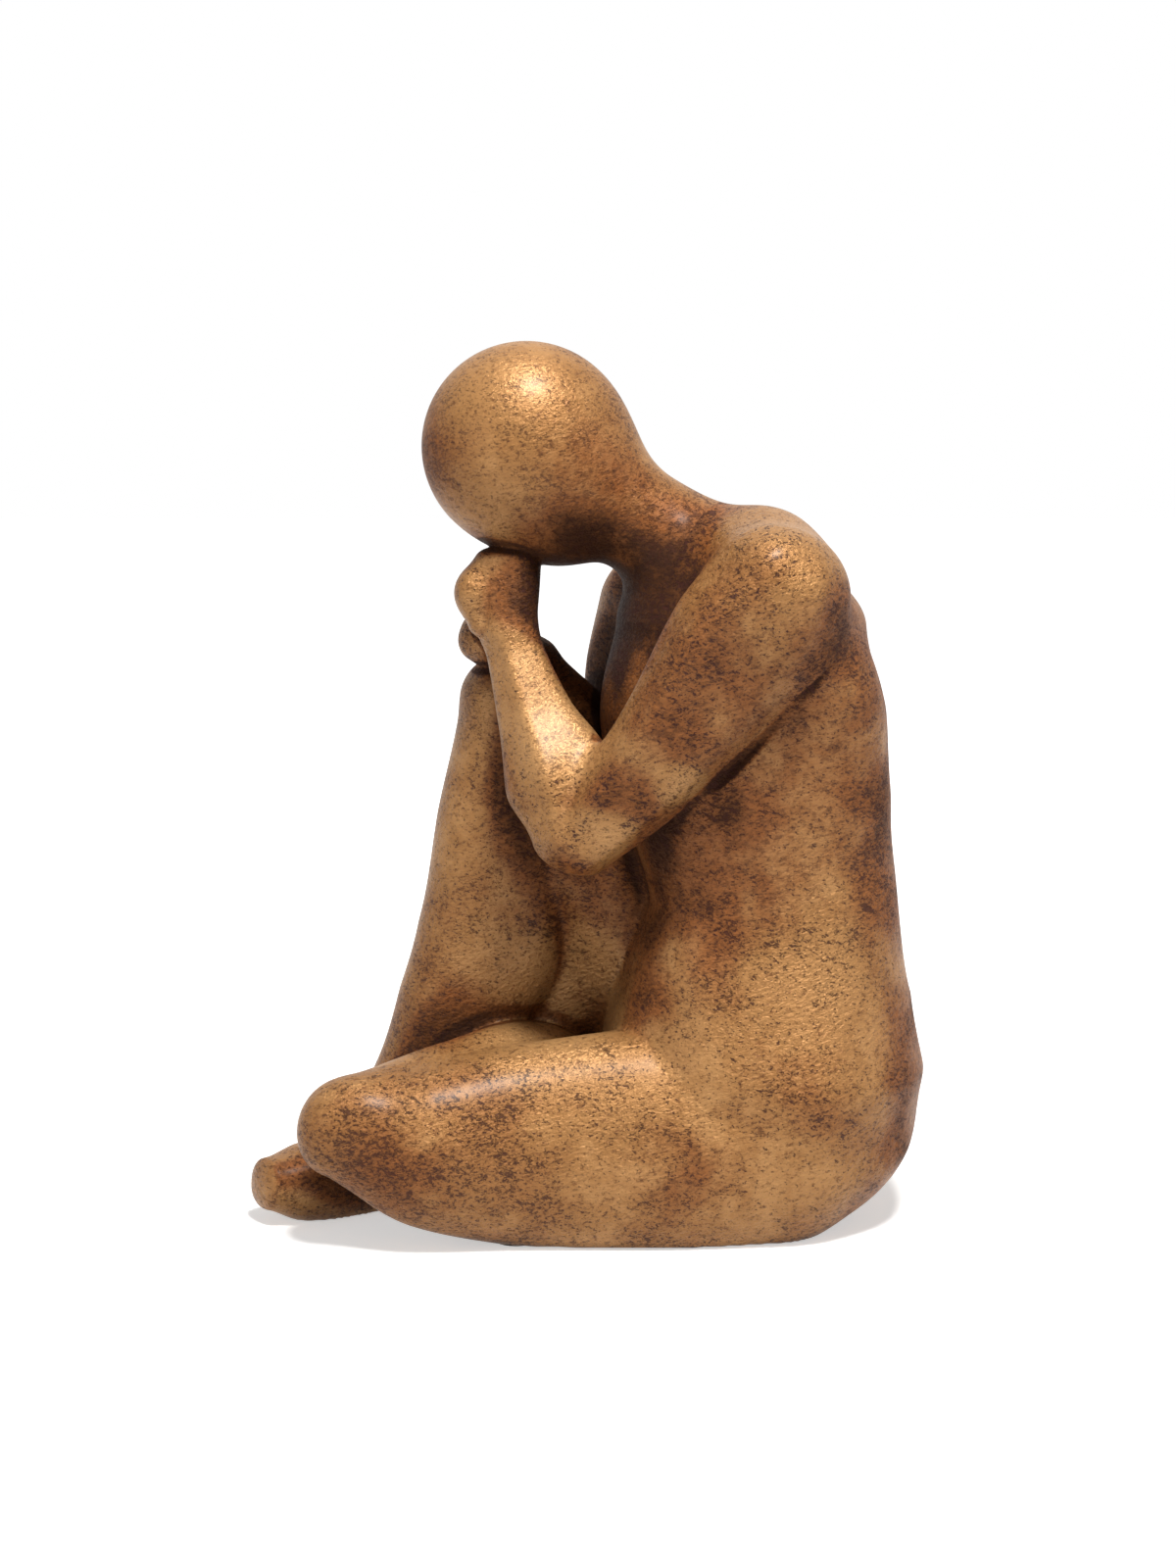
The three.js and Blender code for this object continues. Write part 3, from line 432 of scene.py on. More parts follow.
# %% [markdown]
# The torso is one long trunk, turned a little at the shoulders, under a yoke from one shoulder to
# the other. A groove is carved down the back, a shallow hollow into the near flank, where the
# elbow passes it, and a fine groove under the near upper arm, which sets it off from the body.
# The seat is bevelled at its lower back edge.

# %% Torso
trunk = limb([
    ("seat", "seat", 2.3),
    ("pelvis", "pelvis", 2.3),
    (between("pelvis", "waist", 0.5), "loin", 2.4),
    ("waist", "waist", 2.6),
    (between("waist", "chest", 0.5), "ribs", 2.5),
    ("chest", "chest", 2.3),
    (between("chest", "neck_base", 0.7, 5), "upper_back", 2.2),
], [yaw(a) for a in (2, 3, 5, 8, 14, 22, 26)], end_round=0.55)
backbone = limb([
    (off("pelvis", 60.5, 1, 8), "backbone_end"),
    (between("pelvis", "waist", 0.5, 46.8, 3), "backbone"),
    (off("waist", 39.5, 5.5, 1), "backbone"),
    (between("waist", "chest", 0.5, 41, 10.5, 1), "backbone"),
    (off("chest", 43, 17, 0), "backbone"),
    (between("chest", "neck_base", 0.7, 45, 17), "backbone_end"),
], (0, 1, 0))
yoke = limb([
    (off("left_shoulder", -2, 4, -3), "yoke_left"),
    (between("left_shoulder", "neck_base", 0.5, 4.5, 0, 2), "collar_left"),
    (off("neck_base", 4, 0, 3), "collar"),
    (between("right_shoulder", "neck_base", 0.5, 6), "collar_right"),
    (off("right_shoulder", 4, -5, 4), "yoke_right"),
], (0, 0, 1))
left_blade = limb([
    (off("left_shoulder", 3, 8, -14), "blade_top"),
    (off("left_shoulder", 15, 18, -36), "blade"),
    (off("left_shoulder", 16, 26, -68), "blade_low"),
], (1, 0, 0))
right_blade = limb([
    (off("right_shoulder", 8, -2, 0), "blade_top"),
    (off("right_shoulder", 24, -8, -22), "blade"),
    (off("right_shoulder", 32, -14, -53), "blade_low"),
], (1, 0.4, 0))
underarm = limb([
    ((32, -40.8, 137), "underarm_end"),
    ((39.5, -41.9, 144.3), "underarm"),
    ((49.7, -43.0, 155.1), "underarm"),
    ((64.8, -47.0, 171.6), "underarm"),
    ((71, -48.4, 178.5), "underarm_end"),
], (0, 1, 0))
flank = egg(joint["flank"], girth["flank"], 0)
BEVEL_POINT = np.array((94, 2, 13.5))
BEVEL_WAY = np.array((0.786, 0, -0.618))


def seat_bevel(p):
    return (p - BEVEL_POINT) @ BEVEL_WAY


def torso(p):
    body = blend(trunk(p), blend(left_blade(p), right_blade(p), 1.0), fillet["blade"])
    body = carve(blend(body, yoke(p), fillet["yoke"]), -backbone(p), fillet["backbone"])
    body = carve(body, -flank(p), fillet["flank"])
    body = carve(body, -underarm(p), fillet["underarm"])
    return carve(body, seat_bevel(p), fillet["bevel"])


print("waist is", -torso(joint["waist"][None])[0], "mm deep at its middle")

# %% [markdown]
# The head is a smooth egg with no face, tilted forward on a thick neck, with a second smaller
# egg for the jaw.

# %% Head
neck = limb([
    (off("neck_base", 2, 0, -8), "neck_root"),
    (between("neck_base", "neck", 0.55, 0, 0, 1), "neck_middle"),
    ("neck", "neck"),
    (between("neck", "head", 0.5), "nape"),
], yaw(12))
HEAD_TURN = 8
skull = egg(joint["head"], girth["skull"], HEAD_TURN)
jaw = egg(joint["jaw"], girth["jaw"], HEAD_TURN)
head = joined(skull, (jaw, "jaw"), (neck, "nape"))
print("head is", 2 * girth["skull"][2], "mm high")

# %% [markdown]
# The arms hang from the shoulders to the elbows and come back up to the fists. The near upper arm
# is nearly square, which gives the two long flat planes that catch the light.

# %% Arms
left_upper_arm = limb([
    ("left_shoulder", "left_shoulder", 2.2),
    (between("left_shoulder", "left_elbow", 0.22, 2.8, 0, -1.6), "left_upper_arm", 2.6),
    (between("left_shoulder", "left_elbow", 0.6, 3.4, 0, -2.6), "left_lower_arm", 3),
    (between("left_shoulder", "left_elbow", 0.85, 1.6, 0, -1.2), "left_arm_end", 3),
    ("left_elbow", "left_elbow", 2.8),
], (0.72, 0.34, -0.6), end_round=0.8, planes=((103, 0.9), (173, 0.97), (45, 0.93)))
left_forearm = limb([
    (off("left_elbow", -1, 0, 3), "left_forearm_end"),
    (between("left_elbow", "left_wrist", 0.3, 1.4), "left_forearm", 2.2),
    (between("left_elbow", "left_wrist", 0.62), "left_forearm_thin", 2.2),
    ("left_wrist", "left_wrist"),
], (1, 0.2, 0), planes=((212, 0.86), (272, 0.84)))
left_fist = limb([
    ("left_wrist", "left_wrist"),
    (off("left_hand", 3.5, 0.5, 4.3), "left_fist", 2.5),
], (1, 0, 0.3), end_round=0.6)
left_fingers = limb([
    (off("left_hand", -2, -1.5, 5), "left_knuckles", 2.4),
    (off("left_hand", -6.3, -2.5, -3.5), "left_fingers", 2.4),
    (off("left_hand", -4.5, -3.5, -13), "left_fingertips", 2.4),
], (1, 0, 0), planes=((235, 0.85), (290, 0.85)))
right_upper_arm = limb([
    ("right_shoulder", "right_shoulder"),
    (between("right_shoulder", "right_elbow", 0.35), "right_upper_arm"),
    (between("right_shoulder", "right_elbow", 0.7), "right_lower_arm"),
    ("right_elbow", "right_elbow"),
], (1, 0, 0))
right_forearm = limb([
    ("right_elbow", "right_elbow"),
    (between("right_elbow", "right_wrist", 0.4), "right_forearm"),
    ("right_wrist", "right_wrist"),
], (1, 0, 0.4))
right_fist = limb([
    ("right_wrist", "right_wrist"),
    ("right_hand", "right_fist", 2.4),
], (0, 0, 1), end_round=0.9)
left_arm = joined(
    left_forearm, (left_fist, "wrist"), (left_fingers, "fingers"), (left_upper_arm, "crook"))
right_arm = joined(right_forearm, (right_fist, "wrist"), (right_upper_arm, "crook"))
print("two arms")

# %% [markdown]
# The near leg is folded flat on the ground, with its calf and foot behind the thigh. The far leg
# stands with its knee up, and the hollow behind its knee is filled with a web of resin.

# %% Legs
left_thigh = limb([
    (off("left_hip", 0, 1, 0), "left_hip"),
    (between("left_hip", "left_knee", 0.25, 0, 2, -2.5), "left_thigh", 2.2),
    (between("left_hip", "left_knee", 0.62, 0, 4, -4), "left_thigh_thin", 2.2),
    (between("left_hip", "left_knee", 0.88, 0, 0, -2.5), "left_knee_top"),
    (off("left_knee", -10, 0, 3), "left_knee_end"),
], (0, 0.2, 0.97))
left_calf = limb([
    (off("left_knee", -2, 3, 2), "left_calf_top"),
    (off("left_knee", 25, 22, 5), "left_calf"),
    (off("left_knee", 49, 39, 5.5), "left_calf_crest"),
    (off("left_knee", 64, 56, -8), "left_shin"),
    ("left_ankle", "left_ankle"),
], (0, 0, 1))
left_foot = limb([
    (off("left_ankle", -4, -4, -4), "left_heel"),
    (between("left_ankle", "left_toe", 0.6, 0, 0, -2), "left_sole"),
    ("left_toe", "left_toe"),
], (0, 0, 1))
right_thigh = limb([
    ("right_hip", "right_hip"),
    (between("right_hip", "right_knee", 0.3), "right_thigh"),
    (between("right_hip", "right_knee", 0.65), "right_thigh_thin"),
    ("right_knee", "right_knee"),
], (0, 1, 0))
right_calf = limb([
    (off("right_knee", 0, 0, 2), "right_knee"),
    (between("right_knee", "right_ankle", 0.3, 8.2, 1), "right_calf", 2.2),
    (between("right_knee", "right_ankle", 0.62, 16, 1), "right_calf_full", 2.3),
    (between("right_knee", "right_ankle", 0.84, 10), "right_shin", 2.2),
    (off("right_ankle", -2, 0, -6), "right_ankle"),
], (0, 1, 0))
right_web = limb([
    (between("right_hip", "right_knee", 0.62, -6, 0, -4), "right_web_top"),
    (between("right_knee", "right_ankle", 0.52, 35, 10), "right_web"),
    (between("right_knee", "right_ankle", 0.82, 40.4, 7), "right_web_foot"),
], (0, 1, 0))
right_foot = limb([
    ("right_heel", "right_heel", 2.3),
    (between("right_heel", "right_toe", 0.45, -1, -1, -1), "right_sole", 2.3),
    (between("right_heel", "right_toe", 0.8, 0, 0, -1), "right_ball", 2.3),
    ("right_toe", "right_toe", 2.3),
], (0.55, -0.83, 0), end_round=0.45)
left_leg = joined(left_thigh, (left_calf, "left_knee"), (left_foot, "left_instep"))
right_leg = joined(
    right_thigh, (right_web, "web"), (right_calf, "right_knee"), (right_foot, "right_instep"))
print("two legs")

# %% [markdown]
# The castings are blended into one skin. Near a shoulder or a hip the blend is wide, as flesh is,
# and where an arm or a leg only rests against the body it is narrow and leaves a crease.

# %% Skin
castings = {
    "torso": torso, "head": head,
    "left_arm": left_arm, "right_arm": right_arm,
    "left_leg": left_leg, "right_leg": right_leg,
}
HIP_FRONT = joint["left_hip"][0] - 10
HIP_BACK = joint["left_hip"][0] + 24
SHOULDER_NEAR = 22
SHOULDER_FAR = 46
GROUND = 0.4


def skin_of(distances, p):
    """The distance to the whole skin, from the distances to the castings."""
    torso_at, head_at, left_arm_at, right_arm_at, left_leg_at, right_leg_at = distances
    hip = mix(fillet["crease"], fillet["hip"], smooth(HIP_FRONT, HIP_BACK, p[:, 0]))
    skin = blend(torso_at, head_at, fillet["collar"])
    skin = blend(skin, left_leg_at, hip)
    skin = blend(skin, right_leg_at, fillet["crotch"])
    for arm_at, shoulder in ((left_arm_at, "left_shoulder"), (right_arm_at, "right_shoulder")):
        away = np.linalg.norm(p - joint[shoulder], axis=1)
        close = smooth(SHOULDER_FAR, SHOULDER_NEAR, away)
        skin = blend(skin, arm_at, mix(fillet["arm_touch"], fillet["shoulder"], close))
    return np.maximum(skin, GROUND - p[:, 2])


def measure(p, chunk=40000):
    """The distance to each casting and to the whole skin, for any number of points."""
    each = np.empty((len(castings), len(p)))
    skin = np.empty(len(p))
    for first in range(0, len(p), chunk):
        part = slice(first, first + chunk)
        for row, casting in enumerate(castings.values()):
            each[row, part] = casting(p[part])
        skin[part] = skin_of(each[:, part], p[part])
    return each, skin


print("the chest is", round(-measure(joint["chest"][None])[1][0], 1), "mm below the skin")

# %% [markdown]
# To turn the field into faces, space is cut into small cells, and each cell that the skin passes
# through gets a point on it. Large blocks are tried first, to save time, and only those near the
# skin or near a joint between castings are cut finer.

# %% Labelled grid
CELL = 1.05
BLOCK = 4
MARGIN = 7.0
BLOCK_SIZE = CELL * BLOCK
BAND = 1.15 * BLOCK_SIZE

grid_low = np.array(cad_low) / MM - MARGIN
blocks = np.ceil((np.array(cad_high) / MM + MARGIN - grid_low) / BLOCK_SIZE).astype(int)
centres = np.argwhere(np.ones(blocks, bool))
each, skin = measure(grid_low + (centres + 0.5 - 0.5 / BLOCK) * BLOCK_SIZE)
two = np.sort(each, axis=0)[:2]
seam = (two[1] - two[0]) / 2
active = (np.abs(skin) < BAND) | ((skin < BAND) & (seam < BAND))
label = np.where(skin < 0, 1 + np.argmin(each, axis=0), 0).astype(np.int8)


def refine(values):
    cube = values.reshape(blocks)
    for axis in range(3):
        cube = np.repeat(cube, BLOCK, axis=axis)
    return cube


labels = refine(label)
values = refine(skin)
wanted = np.argwhere(refine(active))
each, skin = measure(grid_low + wanted * CELL)
labels[tuple(wanted.T)] = np.where(skin < 0, 1 + np.argmin(each, axis=0), 0)
values[tuple(wanted.T)] = skin
print("grid", labels.shape, "with", len(wanted), "points measured of", labels.size)

# %% [markdown]
# A cell can hold two separate sheets of one casting, where its skin nearly touches itself. Each
# sheet needs a point of its own, or the mesh would be pinched. The table lists, for every
# pattern of inside and outside corners, which of up to four sheets each of the cell's twelve
# edges belongs to.

# %% Sheets in a cell
corners = np.array([[c & 1, (c >> 1) & 1, c >> 2] for c in range(8)])
SHEETS = 4
edges = [(a, a | bit) for a in range(8) for bit in (1, 2, 4) if not a & bit]
edge_index = {pair: i for i, pair in enumerate(edges)}
edge_index.update({(b, a): i for (a, b), i in edge_index.items()})
cell_faces = [(0, 1, 3, 2), (4, 5, 7, 6), (0, 1, 5, 4), (2, 3, 7, 6), (0, 2, 6, 4), (1, 3, 7, 5)]


def sheets_of(mask):
    inside = [bool(mask & (1 << c)) for c in range(8)]
    root = list(range(12))

    def find(i):
        while root[i] != i:
            i = root[i]
        return i

    cut = [inside[a] != inside[b] for a, b in edges]
    for ring in cell_faces:
        around = [edge_index[ring[i], ring[(i + 1) % 4]] for i in range(4)]
        hit = [e for e in around if cut[e]]
        if len(hit) == 2:
            root[find(hit[0])] = find(hit[1])
        elif len(hit) == 4:
            for i, c in enumerate(ring):
                if inside[c]:
                    root[find(around[i])] = find(around[(i + 3) % 4])
    names = {}
    return [names.setdefault(find(e), len(names)) if cut[e] else 0 for e in range(12)]


sheet_table = np.array([sheets_of(mask) for mask in range(256)])
print("patterns with more than one sheet:", int((sheet_table.max(axis=1) > 0).sum()))

# %% [markdown]
# Every cell whose corners differ gets its point: first the middle of its crossings, then a few
# steps down the field's slope onto the skin. Where two castings and the air meet, the point goes
# onto the line where they do. Both castings then share it, and no gap shows.

# %% Cell points
NOT_A_CASTING = 127
SLOPE_STEP = 0.05
LEAST_SLOPE = 0.15
FARTHEST_MOVE = 0.6 * CELL

shape = np.array(labels.shape) - 1
size_x, size_y, size_z = shape
corner_labels = np.stack([labels[a:a + size_x, b:b + size_y, c:c + size_z] for a, b, c in corners])
mixed = np.argwhere((corner_labels != corner_labels[0]).any(axis=0))
cell_number = np.full(shape, -1, np.int64)
cell_number[tuple(mixed.T)] = np.arange(len(mixed))
cell_labels = corner_labels[(slice(None), *mixed.T)]
cell_values = np.stack([values[tuple((mixed + c).T)] for c in corners])
del corner_labels

crossing = np.zeros((12, len(mixed), 3))
crossed = np.zeros((12, len(mixed)), bool)
for i, (a, b) in enumerate(edges):
    skin_cut = (cell_labels[a] == 0) != (cell_labels[b] == 0)
    gap = np.where(skin_cut, cell_values[a] - cell_values[b], 1.0)
    t = np.where(skin_cut, cell_values[a] / gap, 0.5)[:, None]
    crossing[i] = corners[a] + (corners[b] - corners[a]) * t
    crossed[i] = cell_labels[a] != cell_labels[b]
middle = (crossing * crossed[:, :, None]).sum(axis=0) / crossed.sum(axis=0)[:, None]
cell_points = grid_low + (mixed + middle) * CELL

touches_air = (cell_labels == 0).any(axis=0)
first_label = np.where(cell_labels == 0, NOT_A_CASTING, cell_labels).min(axis=0)
second_label = cell_labels.max(axis=0)
meets = second_label > first_label


def slope_of(value_at, p):
    here = value_at(p)
    ahead = [value_at(p + SLOPE_STEP * axis) for axis in np.eye(3)]
    return here, (np.stack(ahead, axis=1) - here[:, None]) / SLOPE_STEP


def skin_at(p):
    return measure(p)[1]


def settle(points, value_at, start, again=0):
    """Moves points down a field's slope onto its zero, never far from where they started."""
    here, slope = slope_of(value_at, points)
    way = slope / np.maximum(np.sum(slope * slope, axis=1), LEAST_SLOPE)[:, None]
    for _ in range(again + 1):
        move = points - way * here[:, None] - start
        points = start + np.clip(move, -FARTHEST_MOVE, FARTHEST_MOVE)
        here = value_at(points) if again else here
    return points


start = cell_points.copy()
cell_points[touches_air] = settle(cell_points[touches_air], skin_at, start[touches_air], 1)
rows, seconds = first_label[meets] - 1, second_label[meets] - 1
order = np.arange(int(meets.sum()))


def seam_at(p):
    each = measure(p)[0]
    return (each[rows, order] - each[seconds, order]) / 2


points = settle(cell_points[meets], seam_at, start[meets])
for _ in range(2):
    onto = settle(points, skin_at, start[meets])
    points = np.where(touches_air[meets][:, None], onto, points)
    points = settle(points, seam_at, start[meets])
cell_points[meets] = points
print(len(mixed), "cells hold a point, and", int(meets.sum()), "of them lie on a joint")

# %% [markdown]
# The faces come from the grid's edges. Where an edge has a casting on one side only, the four
# cells round it give the four corners of one face. The direction of the edge tells which way is
# out, so every face points outwards from the start.

# %% Faces of a casting
AXES = ((1, 2, 4), (2, 4, 1), (4, 1, 2))


def casting_faces(number):
    """Corner keys of each face of a casting, and whether the face lies in the open air."""
    mask = sum((cell_labels[c] == number).astype(int) << c for c in range(8))
    sheet = sheet_table[mask]
    found, open_air = [], []
    for axis, (along, u, w) in enumerate(AXES):
        near = np.take(labels, range(labels.shape[axis] - 1), axis)
        far = np.take(labels, range(1, labels.shape[axis]), axis)
        cut = np.argwhere((near == number) != (far == number))
        near, far = near[tuple(cut.T)], far[tuple(cut.T)]
        ring = []
        for back in (u | w, w, 0, u):
            cell = cell_number[tuple((cut - corners[back]).T)]
            ring.append(cell * SHEETS + sheet[cell, edge_index[back, back | along]])
        ring = np.stack(ring, axis=1)
        found.append(np.where((near == number)[:, None], ring, ring[:, ::-1]))
        open_air.append((near == 0) | (far == 0))
    return np.concatenate(found), np.concatenate(open_air), sheet


faces = {name: casting_faces(number) for number, name in enumerate(castings, start=1)}
print({name: len(found[0]) for name, found in faces.items()}, "faces")

# %% [markdown]
# The shading normals are averaged from the open faces of all the castings together, so they are
# the same on both sides of a glued joint, which then doesn't show as a line.

# %% Shared normals
outward = np.zeros_like(cell_points)
for keys, open_air, _ in faces.values():
    ring = keys[open_air] // SHEETS
    a, b, c, d = (cell_points[ring[:, k]] for k in range(4))
    face_normal = np.cross(c - a, d - b)
    for k in range(4):
        for axis in range(3):
            outward[:, axis] += np.bincount(ring[:, k], face_normal[:, axis], len(cell_points))
outer = np.flatnonzero(np.abs(outward).sum(axis=1) > 0)
outward[outer] = unit(outward[outer])
print(len(outer), "points in the open")

# %% [markdown]
# Three numbers are kept with each point for the paint. "Hollow" is high where the skin closes in
# within a few millimetres, as in a crease, and "cove" where it does so more widely, as under the
# chin: dark glaze stays there, and the paint darkens both further as painted shade. "Ridge" is
# high where the skin bulges and the glaze is wiped off, which also serves as a painted highlight
# along edges.
# chin: dark glaze stays there. "Ridge" is high where the skin bulges and the glaze is wiped off.
# Each compares the field a little way out or in with what a flat surface would give.

# %% Hollows and ridges
def closeness(reach):
    """How much nearer the skin is, this far out along the slope, than from a flat surface."""
    out = np.zeros(len(cell_points))
    out[outer] = 1.0 - skin_at(cell_points[outer] + outward[outer] * reach) / reach
    return out


REACHES = {"hollow": 3.0, "cove": 26.0, "ridge": -4.0}
layers = {name: closeness(reach) for name, reach in REACHES.items()}
for name, found in layers.items():
    print(name, np.percentile(found[outer], (5, 50, 95)).round(3))

# %% [markdown]
# Shade and light are painted into the glaze with soft balls. Each dark ball is painted shade, where
# a shadow falls on the figure, as on the flank under the near arm, on the chest under the chin,
# between the belly and the raised leg and along the back; it is given by its place, its radius and
# how dark it is, and the darkest wins where two meet. Each light ball is a painted highlight, where
# the light falls most, as on the forearm, the shoulder and the top of the head, and those count
# below zero.

# %% Painted shade and painted highlights
CORE = 0.2
EDGE = 1.4
# painted shade: dark balls where shadows fall on the figure
shadow_balls = [
    ((24, -48, 162), 14, 0.55),
    ((11, -50, 139), 12, 0.5),
    ((71, -50, 188), 18, 0.45),
    ((-32, -26, 170), 14, 0.4),
    ((-46, -14, 246), 22, 0.15),
    ((-28, -26, 150), 14, 0.35),
    ((70, -30, 170), 12, 0.4),
    ((48, -40, 130), 18, 0.5),
    ((70, -44, 146), 34, 0.3),
    ((40, -50, 170), 30, 0.25),
    ((28, -36, 112), 26, 0.55),
    ((60, -40, 110), 24, 0.3),
    ((-2, -46, 118), 12, 0.4),
    ((-15, -14, 125), 18, 0.35),
    ((-15, -14, 98), 20, 0.3),
    ((-36, -10, 66), 20, 0.3),
    ((5, -22, 92), 20, 1.0),
    ((12, -22, 75), 18, 0.8),
    ((12, -24, 196), 28, 1.0),
    ((26, -24, 224), 14, 0.4),
    ((-16, -18, 197), 15, 1.1),
    ((-2, -15, 212), 20, 0.95),
    ((10, -30, 232), 22, 0.5),
    ((-46, -10, 240), 18, 0.3),
    ((92, -20, 170), 24, 0.4),
    ((94, -20, 135), 26, 0.4),
    ((96, -20, 100), 26, 0.3),
    ((102, -20, 62), 24, 0.45),
    ((100, -20, 30), 22, 0.45),
    ((28, -60, 30), 24, 0.3),
    ((-60, -60, 25), 18, 0.25),
]
# painted highlights: light balls where the light falls most
highlight_balls = [
    ((-10, -32, 158), 18, 1.0),
    ((-22, -26, 176), 13, 0.7),
    ((62, -42, 214), 20, 0.4),
    ((6, -50, 124), 12, 0.9),
    ((28, -46, 143), 8, 0.6),
    ((72, -44, 88), 26, 0.35),
    ((20, -52, 52), 30, 0.2),
    ((-30, -20, 268), 22, 0.3),
    ((-8, -12, 60), 30, 1.2),
]


def strongest(balls):
    """At each point, the strongest of some soft balls, which fade from CORE to EDGE radii out."""
    found = np.zeros(len(cell_points))
    for place, radius, strength in balls:
        away = np.linalg.norm(cell_points - place, axis=1) / radius
        found = np.maximum(found, strength * smooth(EDGE, CORE, away))
    return found


# painted shade counts above zero, painted highlights below
layers["stain"] = strongest(shadow_balls) - strongest(highlight_balls)
print(len(shadow_balls), "dabs over", int((layers["stain"][outer] > 0.1).mean() * 100), "percent of the skin")

# %% [markdown]
# Each casting becomes one mesh with these normals and numbers. Where two sheets of it share a
# cell, each one's point is drawn a little to its own side, so that they don't touch.

# %% Castings
SHEET_GAP = 0.1
SLOT_OF = {"torso": "resin_body", "head": "resin_head", "arm": "resin_arms", "leg": "resin_legs"}
slots = {name: SLOT_OF[name.split("_")[-1]] for name in castings}


def sheet_middle(cell, sheet, which):
    """The middle of one sheet's own crossings in a cell."""
    mine = (sheet[cell] == which) & crossed[:, cell]
    return grid_low + (mixed[cell] + crossing[mine, cell].mean(axis=0)) * CELL


def casting_mesh(name, keys, open_air, sheet):
    used, ring = np.unique(keys, return_inverse=True)
    ring = ring.reshape(keys.shape)
    cell = used // SHEETS
    place = cell_points[cell].copy()
    crowded = np.flatnonzero(np.bincount(cell, minlength=len(cell_points))[cell] > 1)
    for i in crowded:
        place[i] += (sheet_middle(cell[i], sheet, used[i] % SHEETS) - place[i]) * SHEET_GAP
    mesh = bpy.data.meshes.new(name)
    mesh.from_pydata((place * MM).tolist(), [], ring.tolist())
    for layer_name, found in layers.items():
        layer = mesh.attributes.new(layer_name, "FLOAT", "POINT")
        layer.data.foreach_set("value", found[cell].astype(np.float32))
    mesh.shade_smooth()
    flat = np.zeros(len(ring) * 3, np.float32)
    mesh.polygons.foreach_get("normal", flat)
    normals = np.where(open_air[:, None, None], outward[cell][ring], flat.reshape(-1, 1, 3))
    mesh.normals_split_custom_set(normals.reshape(-1, 3).tolist())
    return mesh, len(crowded)


dressed = {}
for name in castings:
    mesh, crowded = casting_mesh(name + "_casting", *faces[name])
    piece = show(name + "_casting", mesh)
    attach(piece, "root")
    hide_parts(name)
    dressed[name] = piece
    print(name, len(mesh.vertices), "points,", len(mesh.polygons), "faces,", crowded, "crowded")

# %% [markdown]
# Materials are built from nodes, so small helpers keep the cells short. One adds a node and feeds
# its inputs, with values or links. One adds a noise whose features have a size in millimetres,
# squeezed along z and tilted where the brush went round the figure at a slant.

# %% Node helpers
def feed(tree, socket, value):
    if isinstance(value, bpy.types.NodeSocket):
        tree.links.new(value, socket)
    else:
        socket.default_value = value


def drive(tree, made, **inputs):
    """Feeds a node's inputs by their names, with _ for each space."""
    for key, value in inputs.items():
        feed(tree, made.inputs[key.replace("_", " ")], value)


def node(tree, kind, settings=None, **inputs):
    made = tree.nodes.new(kind)
    for key, value in (settings or {}).items():
        setattr(made, key, value)
    drive(tree, made, **inputs)
    return made


def math_node(tree, operation, a, b, clamp=False):
    made = node(tree, "ShaderNodeMath", {"operation": operation, "use_clamp": clamp})
    feed(tree, made.inputs[0], a)
    feed(tree, made.inputs[1], b)
    return made.outputs[0]


def plus(tree, a, b, clamp=False):
    return math_node(tree, "ADD", a, b, clamp)


def times(tree, a, b, clamp=False):
    return math_node(tree, "MULTIPLY", a, b, clamp)


def larger(tree, a, b, clamp=False):
    return math_node(tree, "MAXIMUM", a, b, clamp)


def ramp(tree, value, low, high, to_low=0.0, to_high=1.0):
    made = node(tree, "ShaderNodeMapRange", {"interpolation_type": "SMOOTHSTEP"}, Value=value,
                From_Min=low, From_Max=high, To_Min=to_low, To_Max=to_high)
    return made.outputs["Result"]


def blend_colour(tree, share, a, b):
    made = node(tree, "ShaderNodeMix", {"data_type": "RGBA"}, Factor=share)
    feed(tree, made.inputs[6], a)
    feed(tree, made.inputs[7], b)
    return made.outputs[2]


def blend_value(tree, share, a, b):
    made = node(tree, "ShaderNodeMix", Factor=share)
    feed(tree, made.inputs[2], a)
    feed(tree, made.inputs[3], b)
    return made.outputs[0]


def grain(tree, size_mm, detail=2.0, rough=0.5, squeeze=1.0, seed=0.0, tilt=0.0):
    place = tree.nodes.new("ShaderNodeTexCoord").outputs["Object"]
    leaning = node(tree, "ShaderNodeMapping", Vector=place, Rotation=(0, math.radians(tilt), 0))
    shifted = node(tree, "ShaderNodeMapping", Vector=leaning.outputs[0], Scale=(1, 1, squeeze),
                   Location=(seed, 0.37 * seed, 0.71 * seed))
    noise = node(tree, "ShaderNodeTexNoise", Vector=shifted.outputs[0], Scale=1 / (size_mm * MM),
                 Detail=detail, Roughness=rough)
    return noise.outputs["Fac"]


def bumped(tree, height, strength, distance_mm):
    made = node(tree, "ShaderNodeBump", Height=height, Strength=strength, Distance=distance_mm * MM)
    return made.outputs[0]


def new_group(name, inputs, outputs):
    """A node group, the outputs of its input node and the inputs of its output node."""
    group = bpy.data.node_groups.new(name, "ShaderNodeTree")
    for label, default in inputs.items():
        socket = group.interface.new_socket(label, in_out="INPUT", socket_type="NodeSocketFloat")
        socket.default_value = default
    for label, kind in outputs.items():
        group.interface.new_socket(label, in_out="OUTPUT", socket_type=kind)
    return group, group.nodes.new("NodeGroupInput").outputs, group.nodes.new("NodeGroupOutput").inputs


def new_paint(name, **inputs):
    """A material, its node tree and its Principled shader with these inputs set."""
    paint = bpy.data.materials.new(name)
    paint.use_nodes = True
    shader = paint.node_tree.nodes["Principled BSDF"]
    drive(paint.node_tree, shader, **inputs)
    return paint, paint.node_tree, shader


print("node helpers ready")

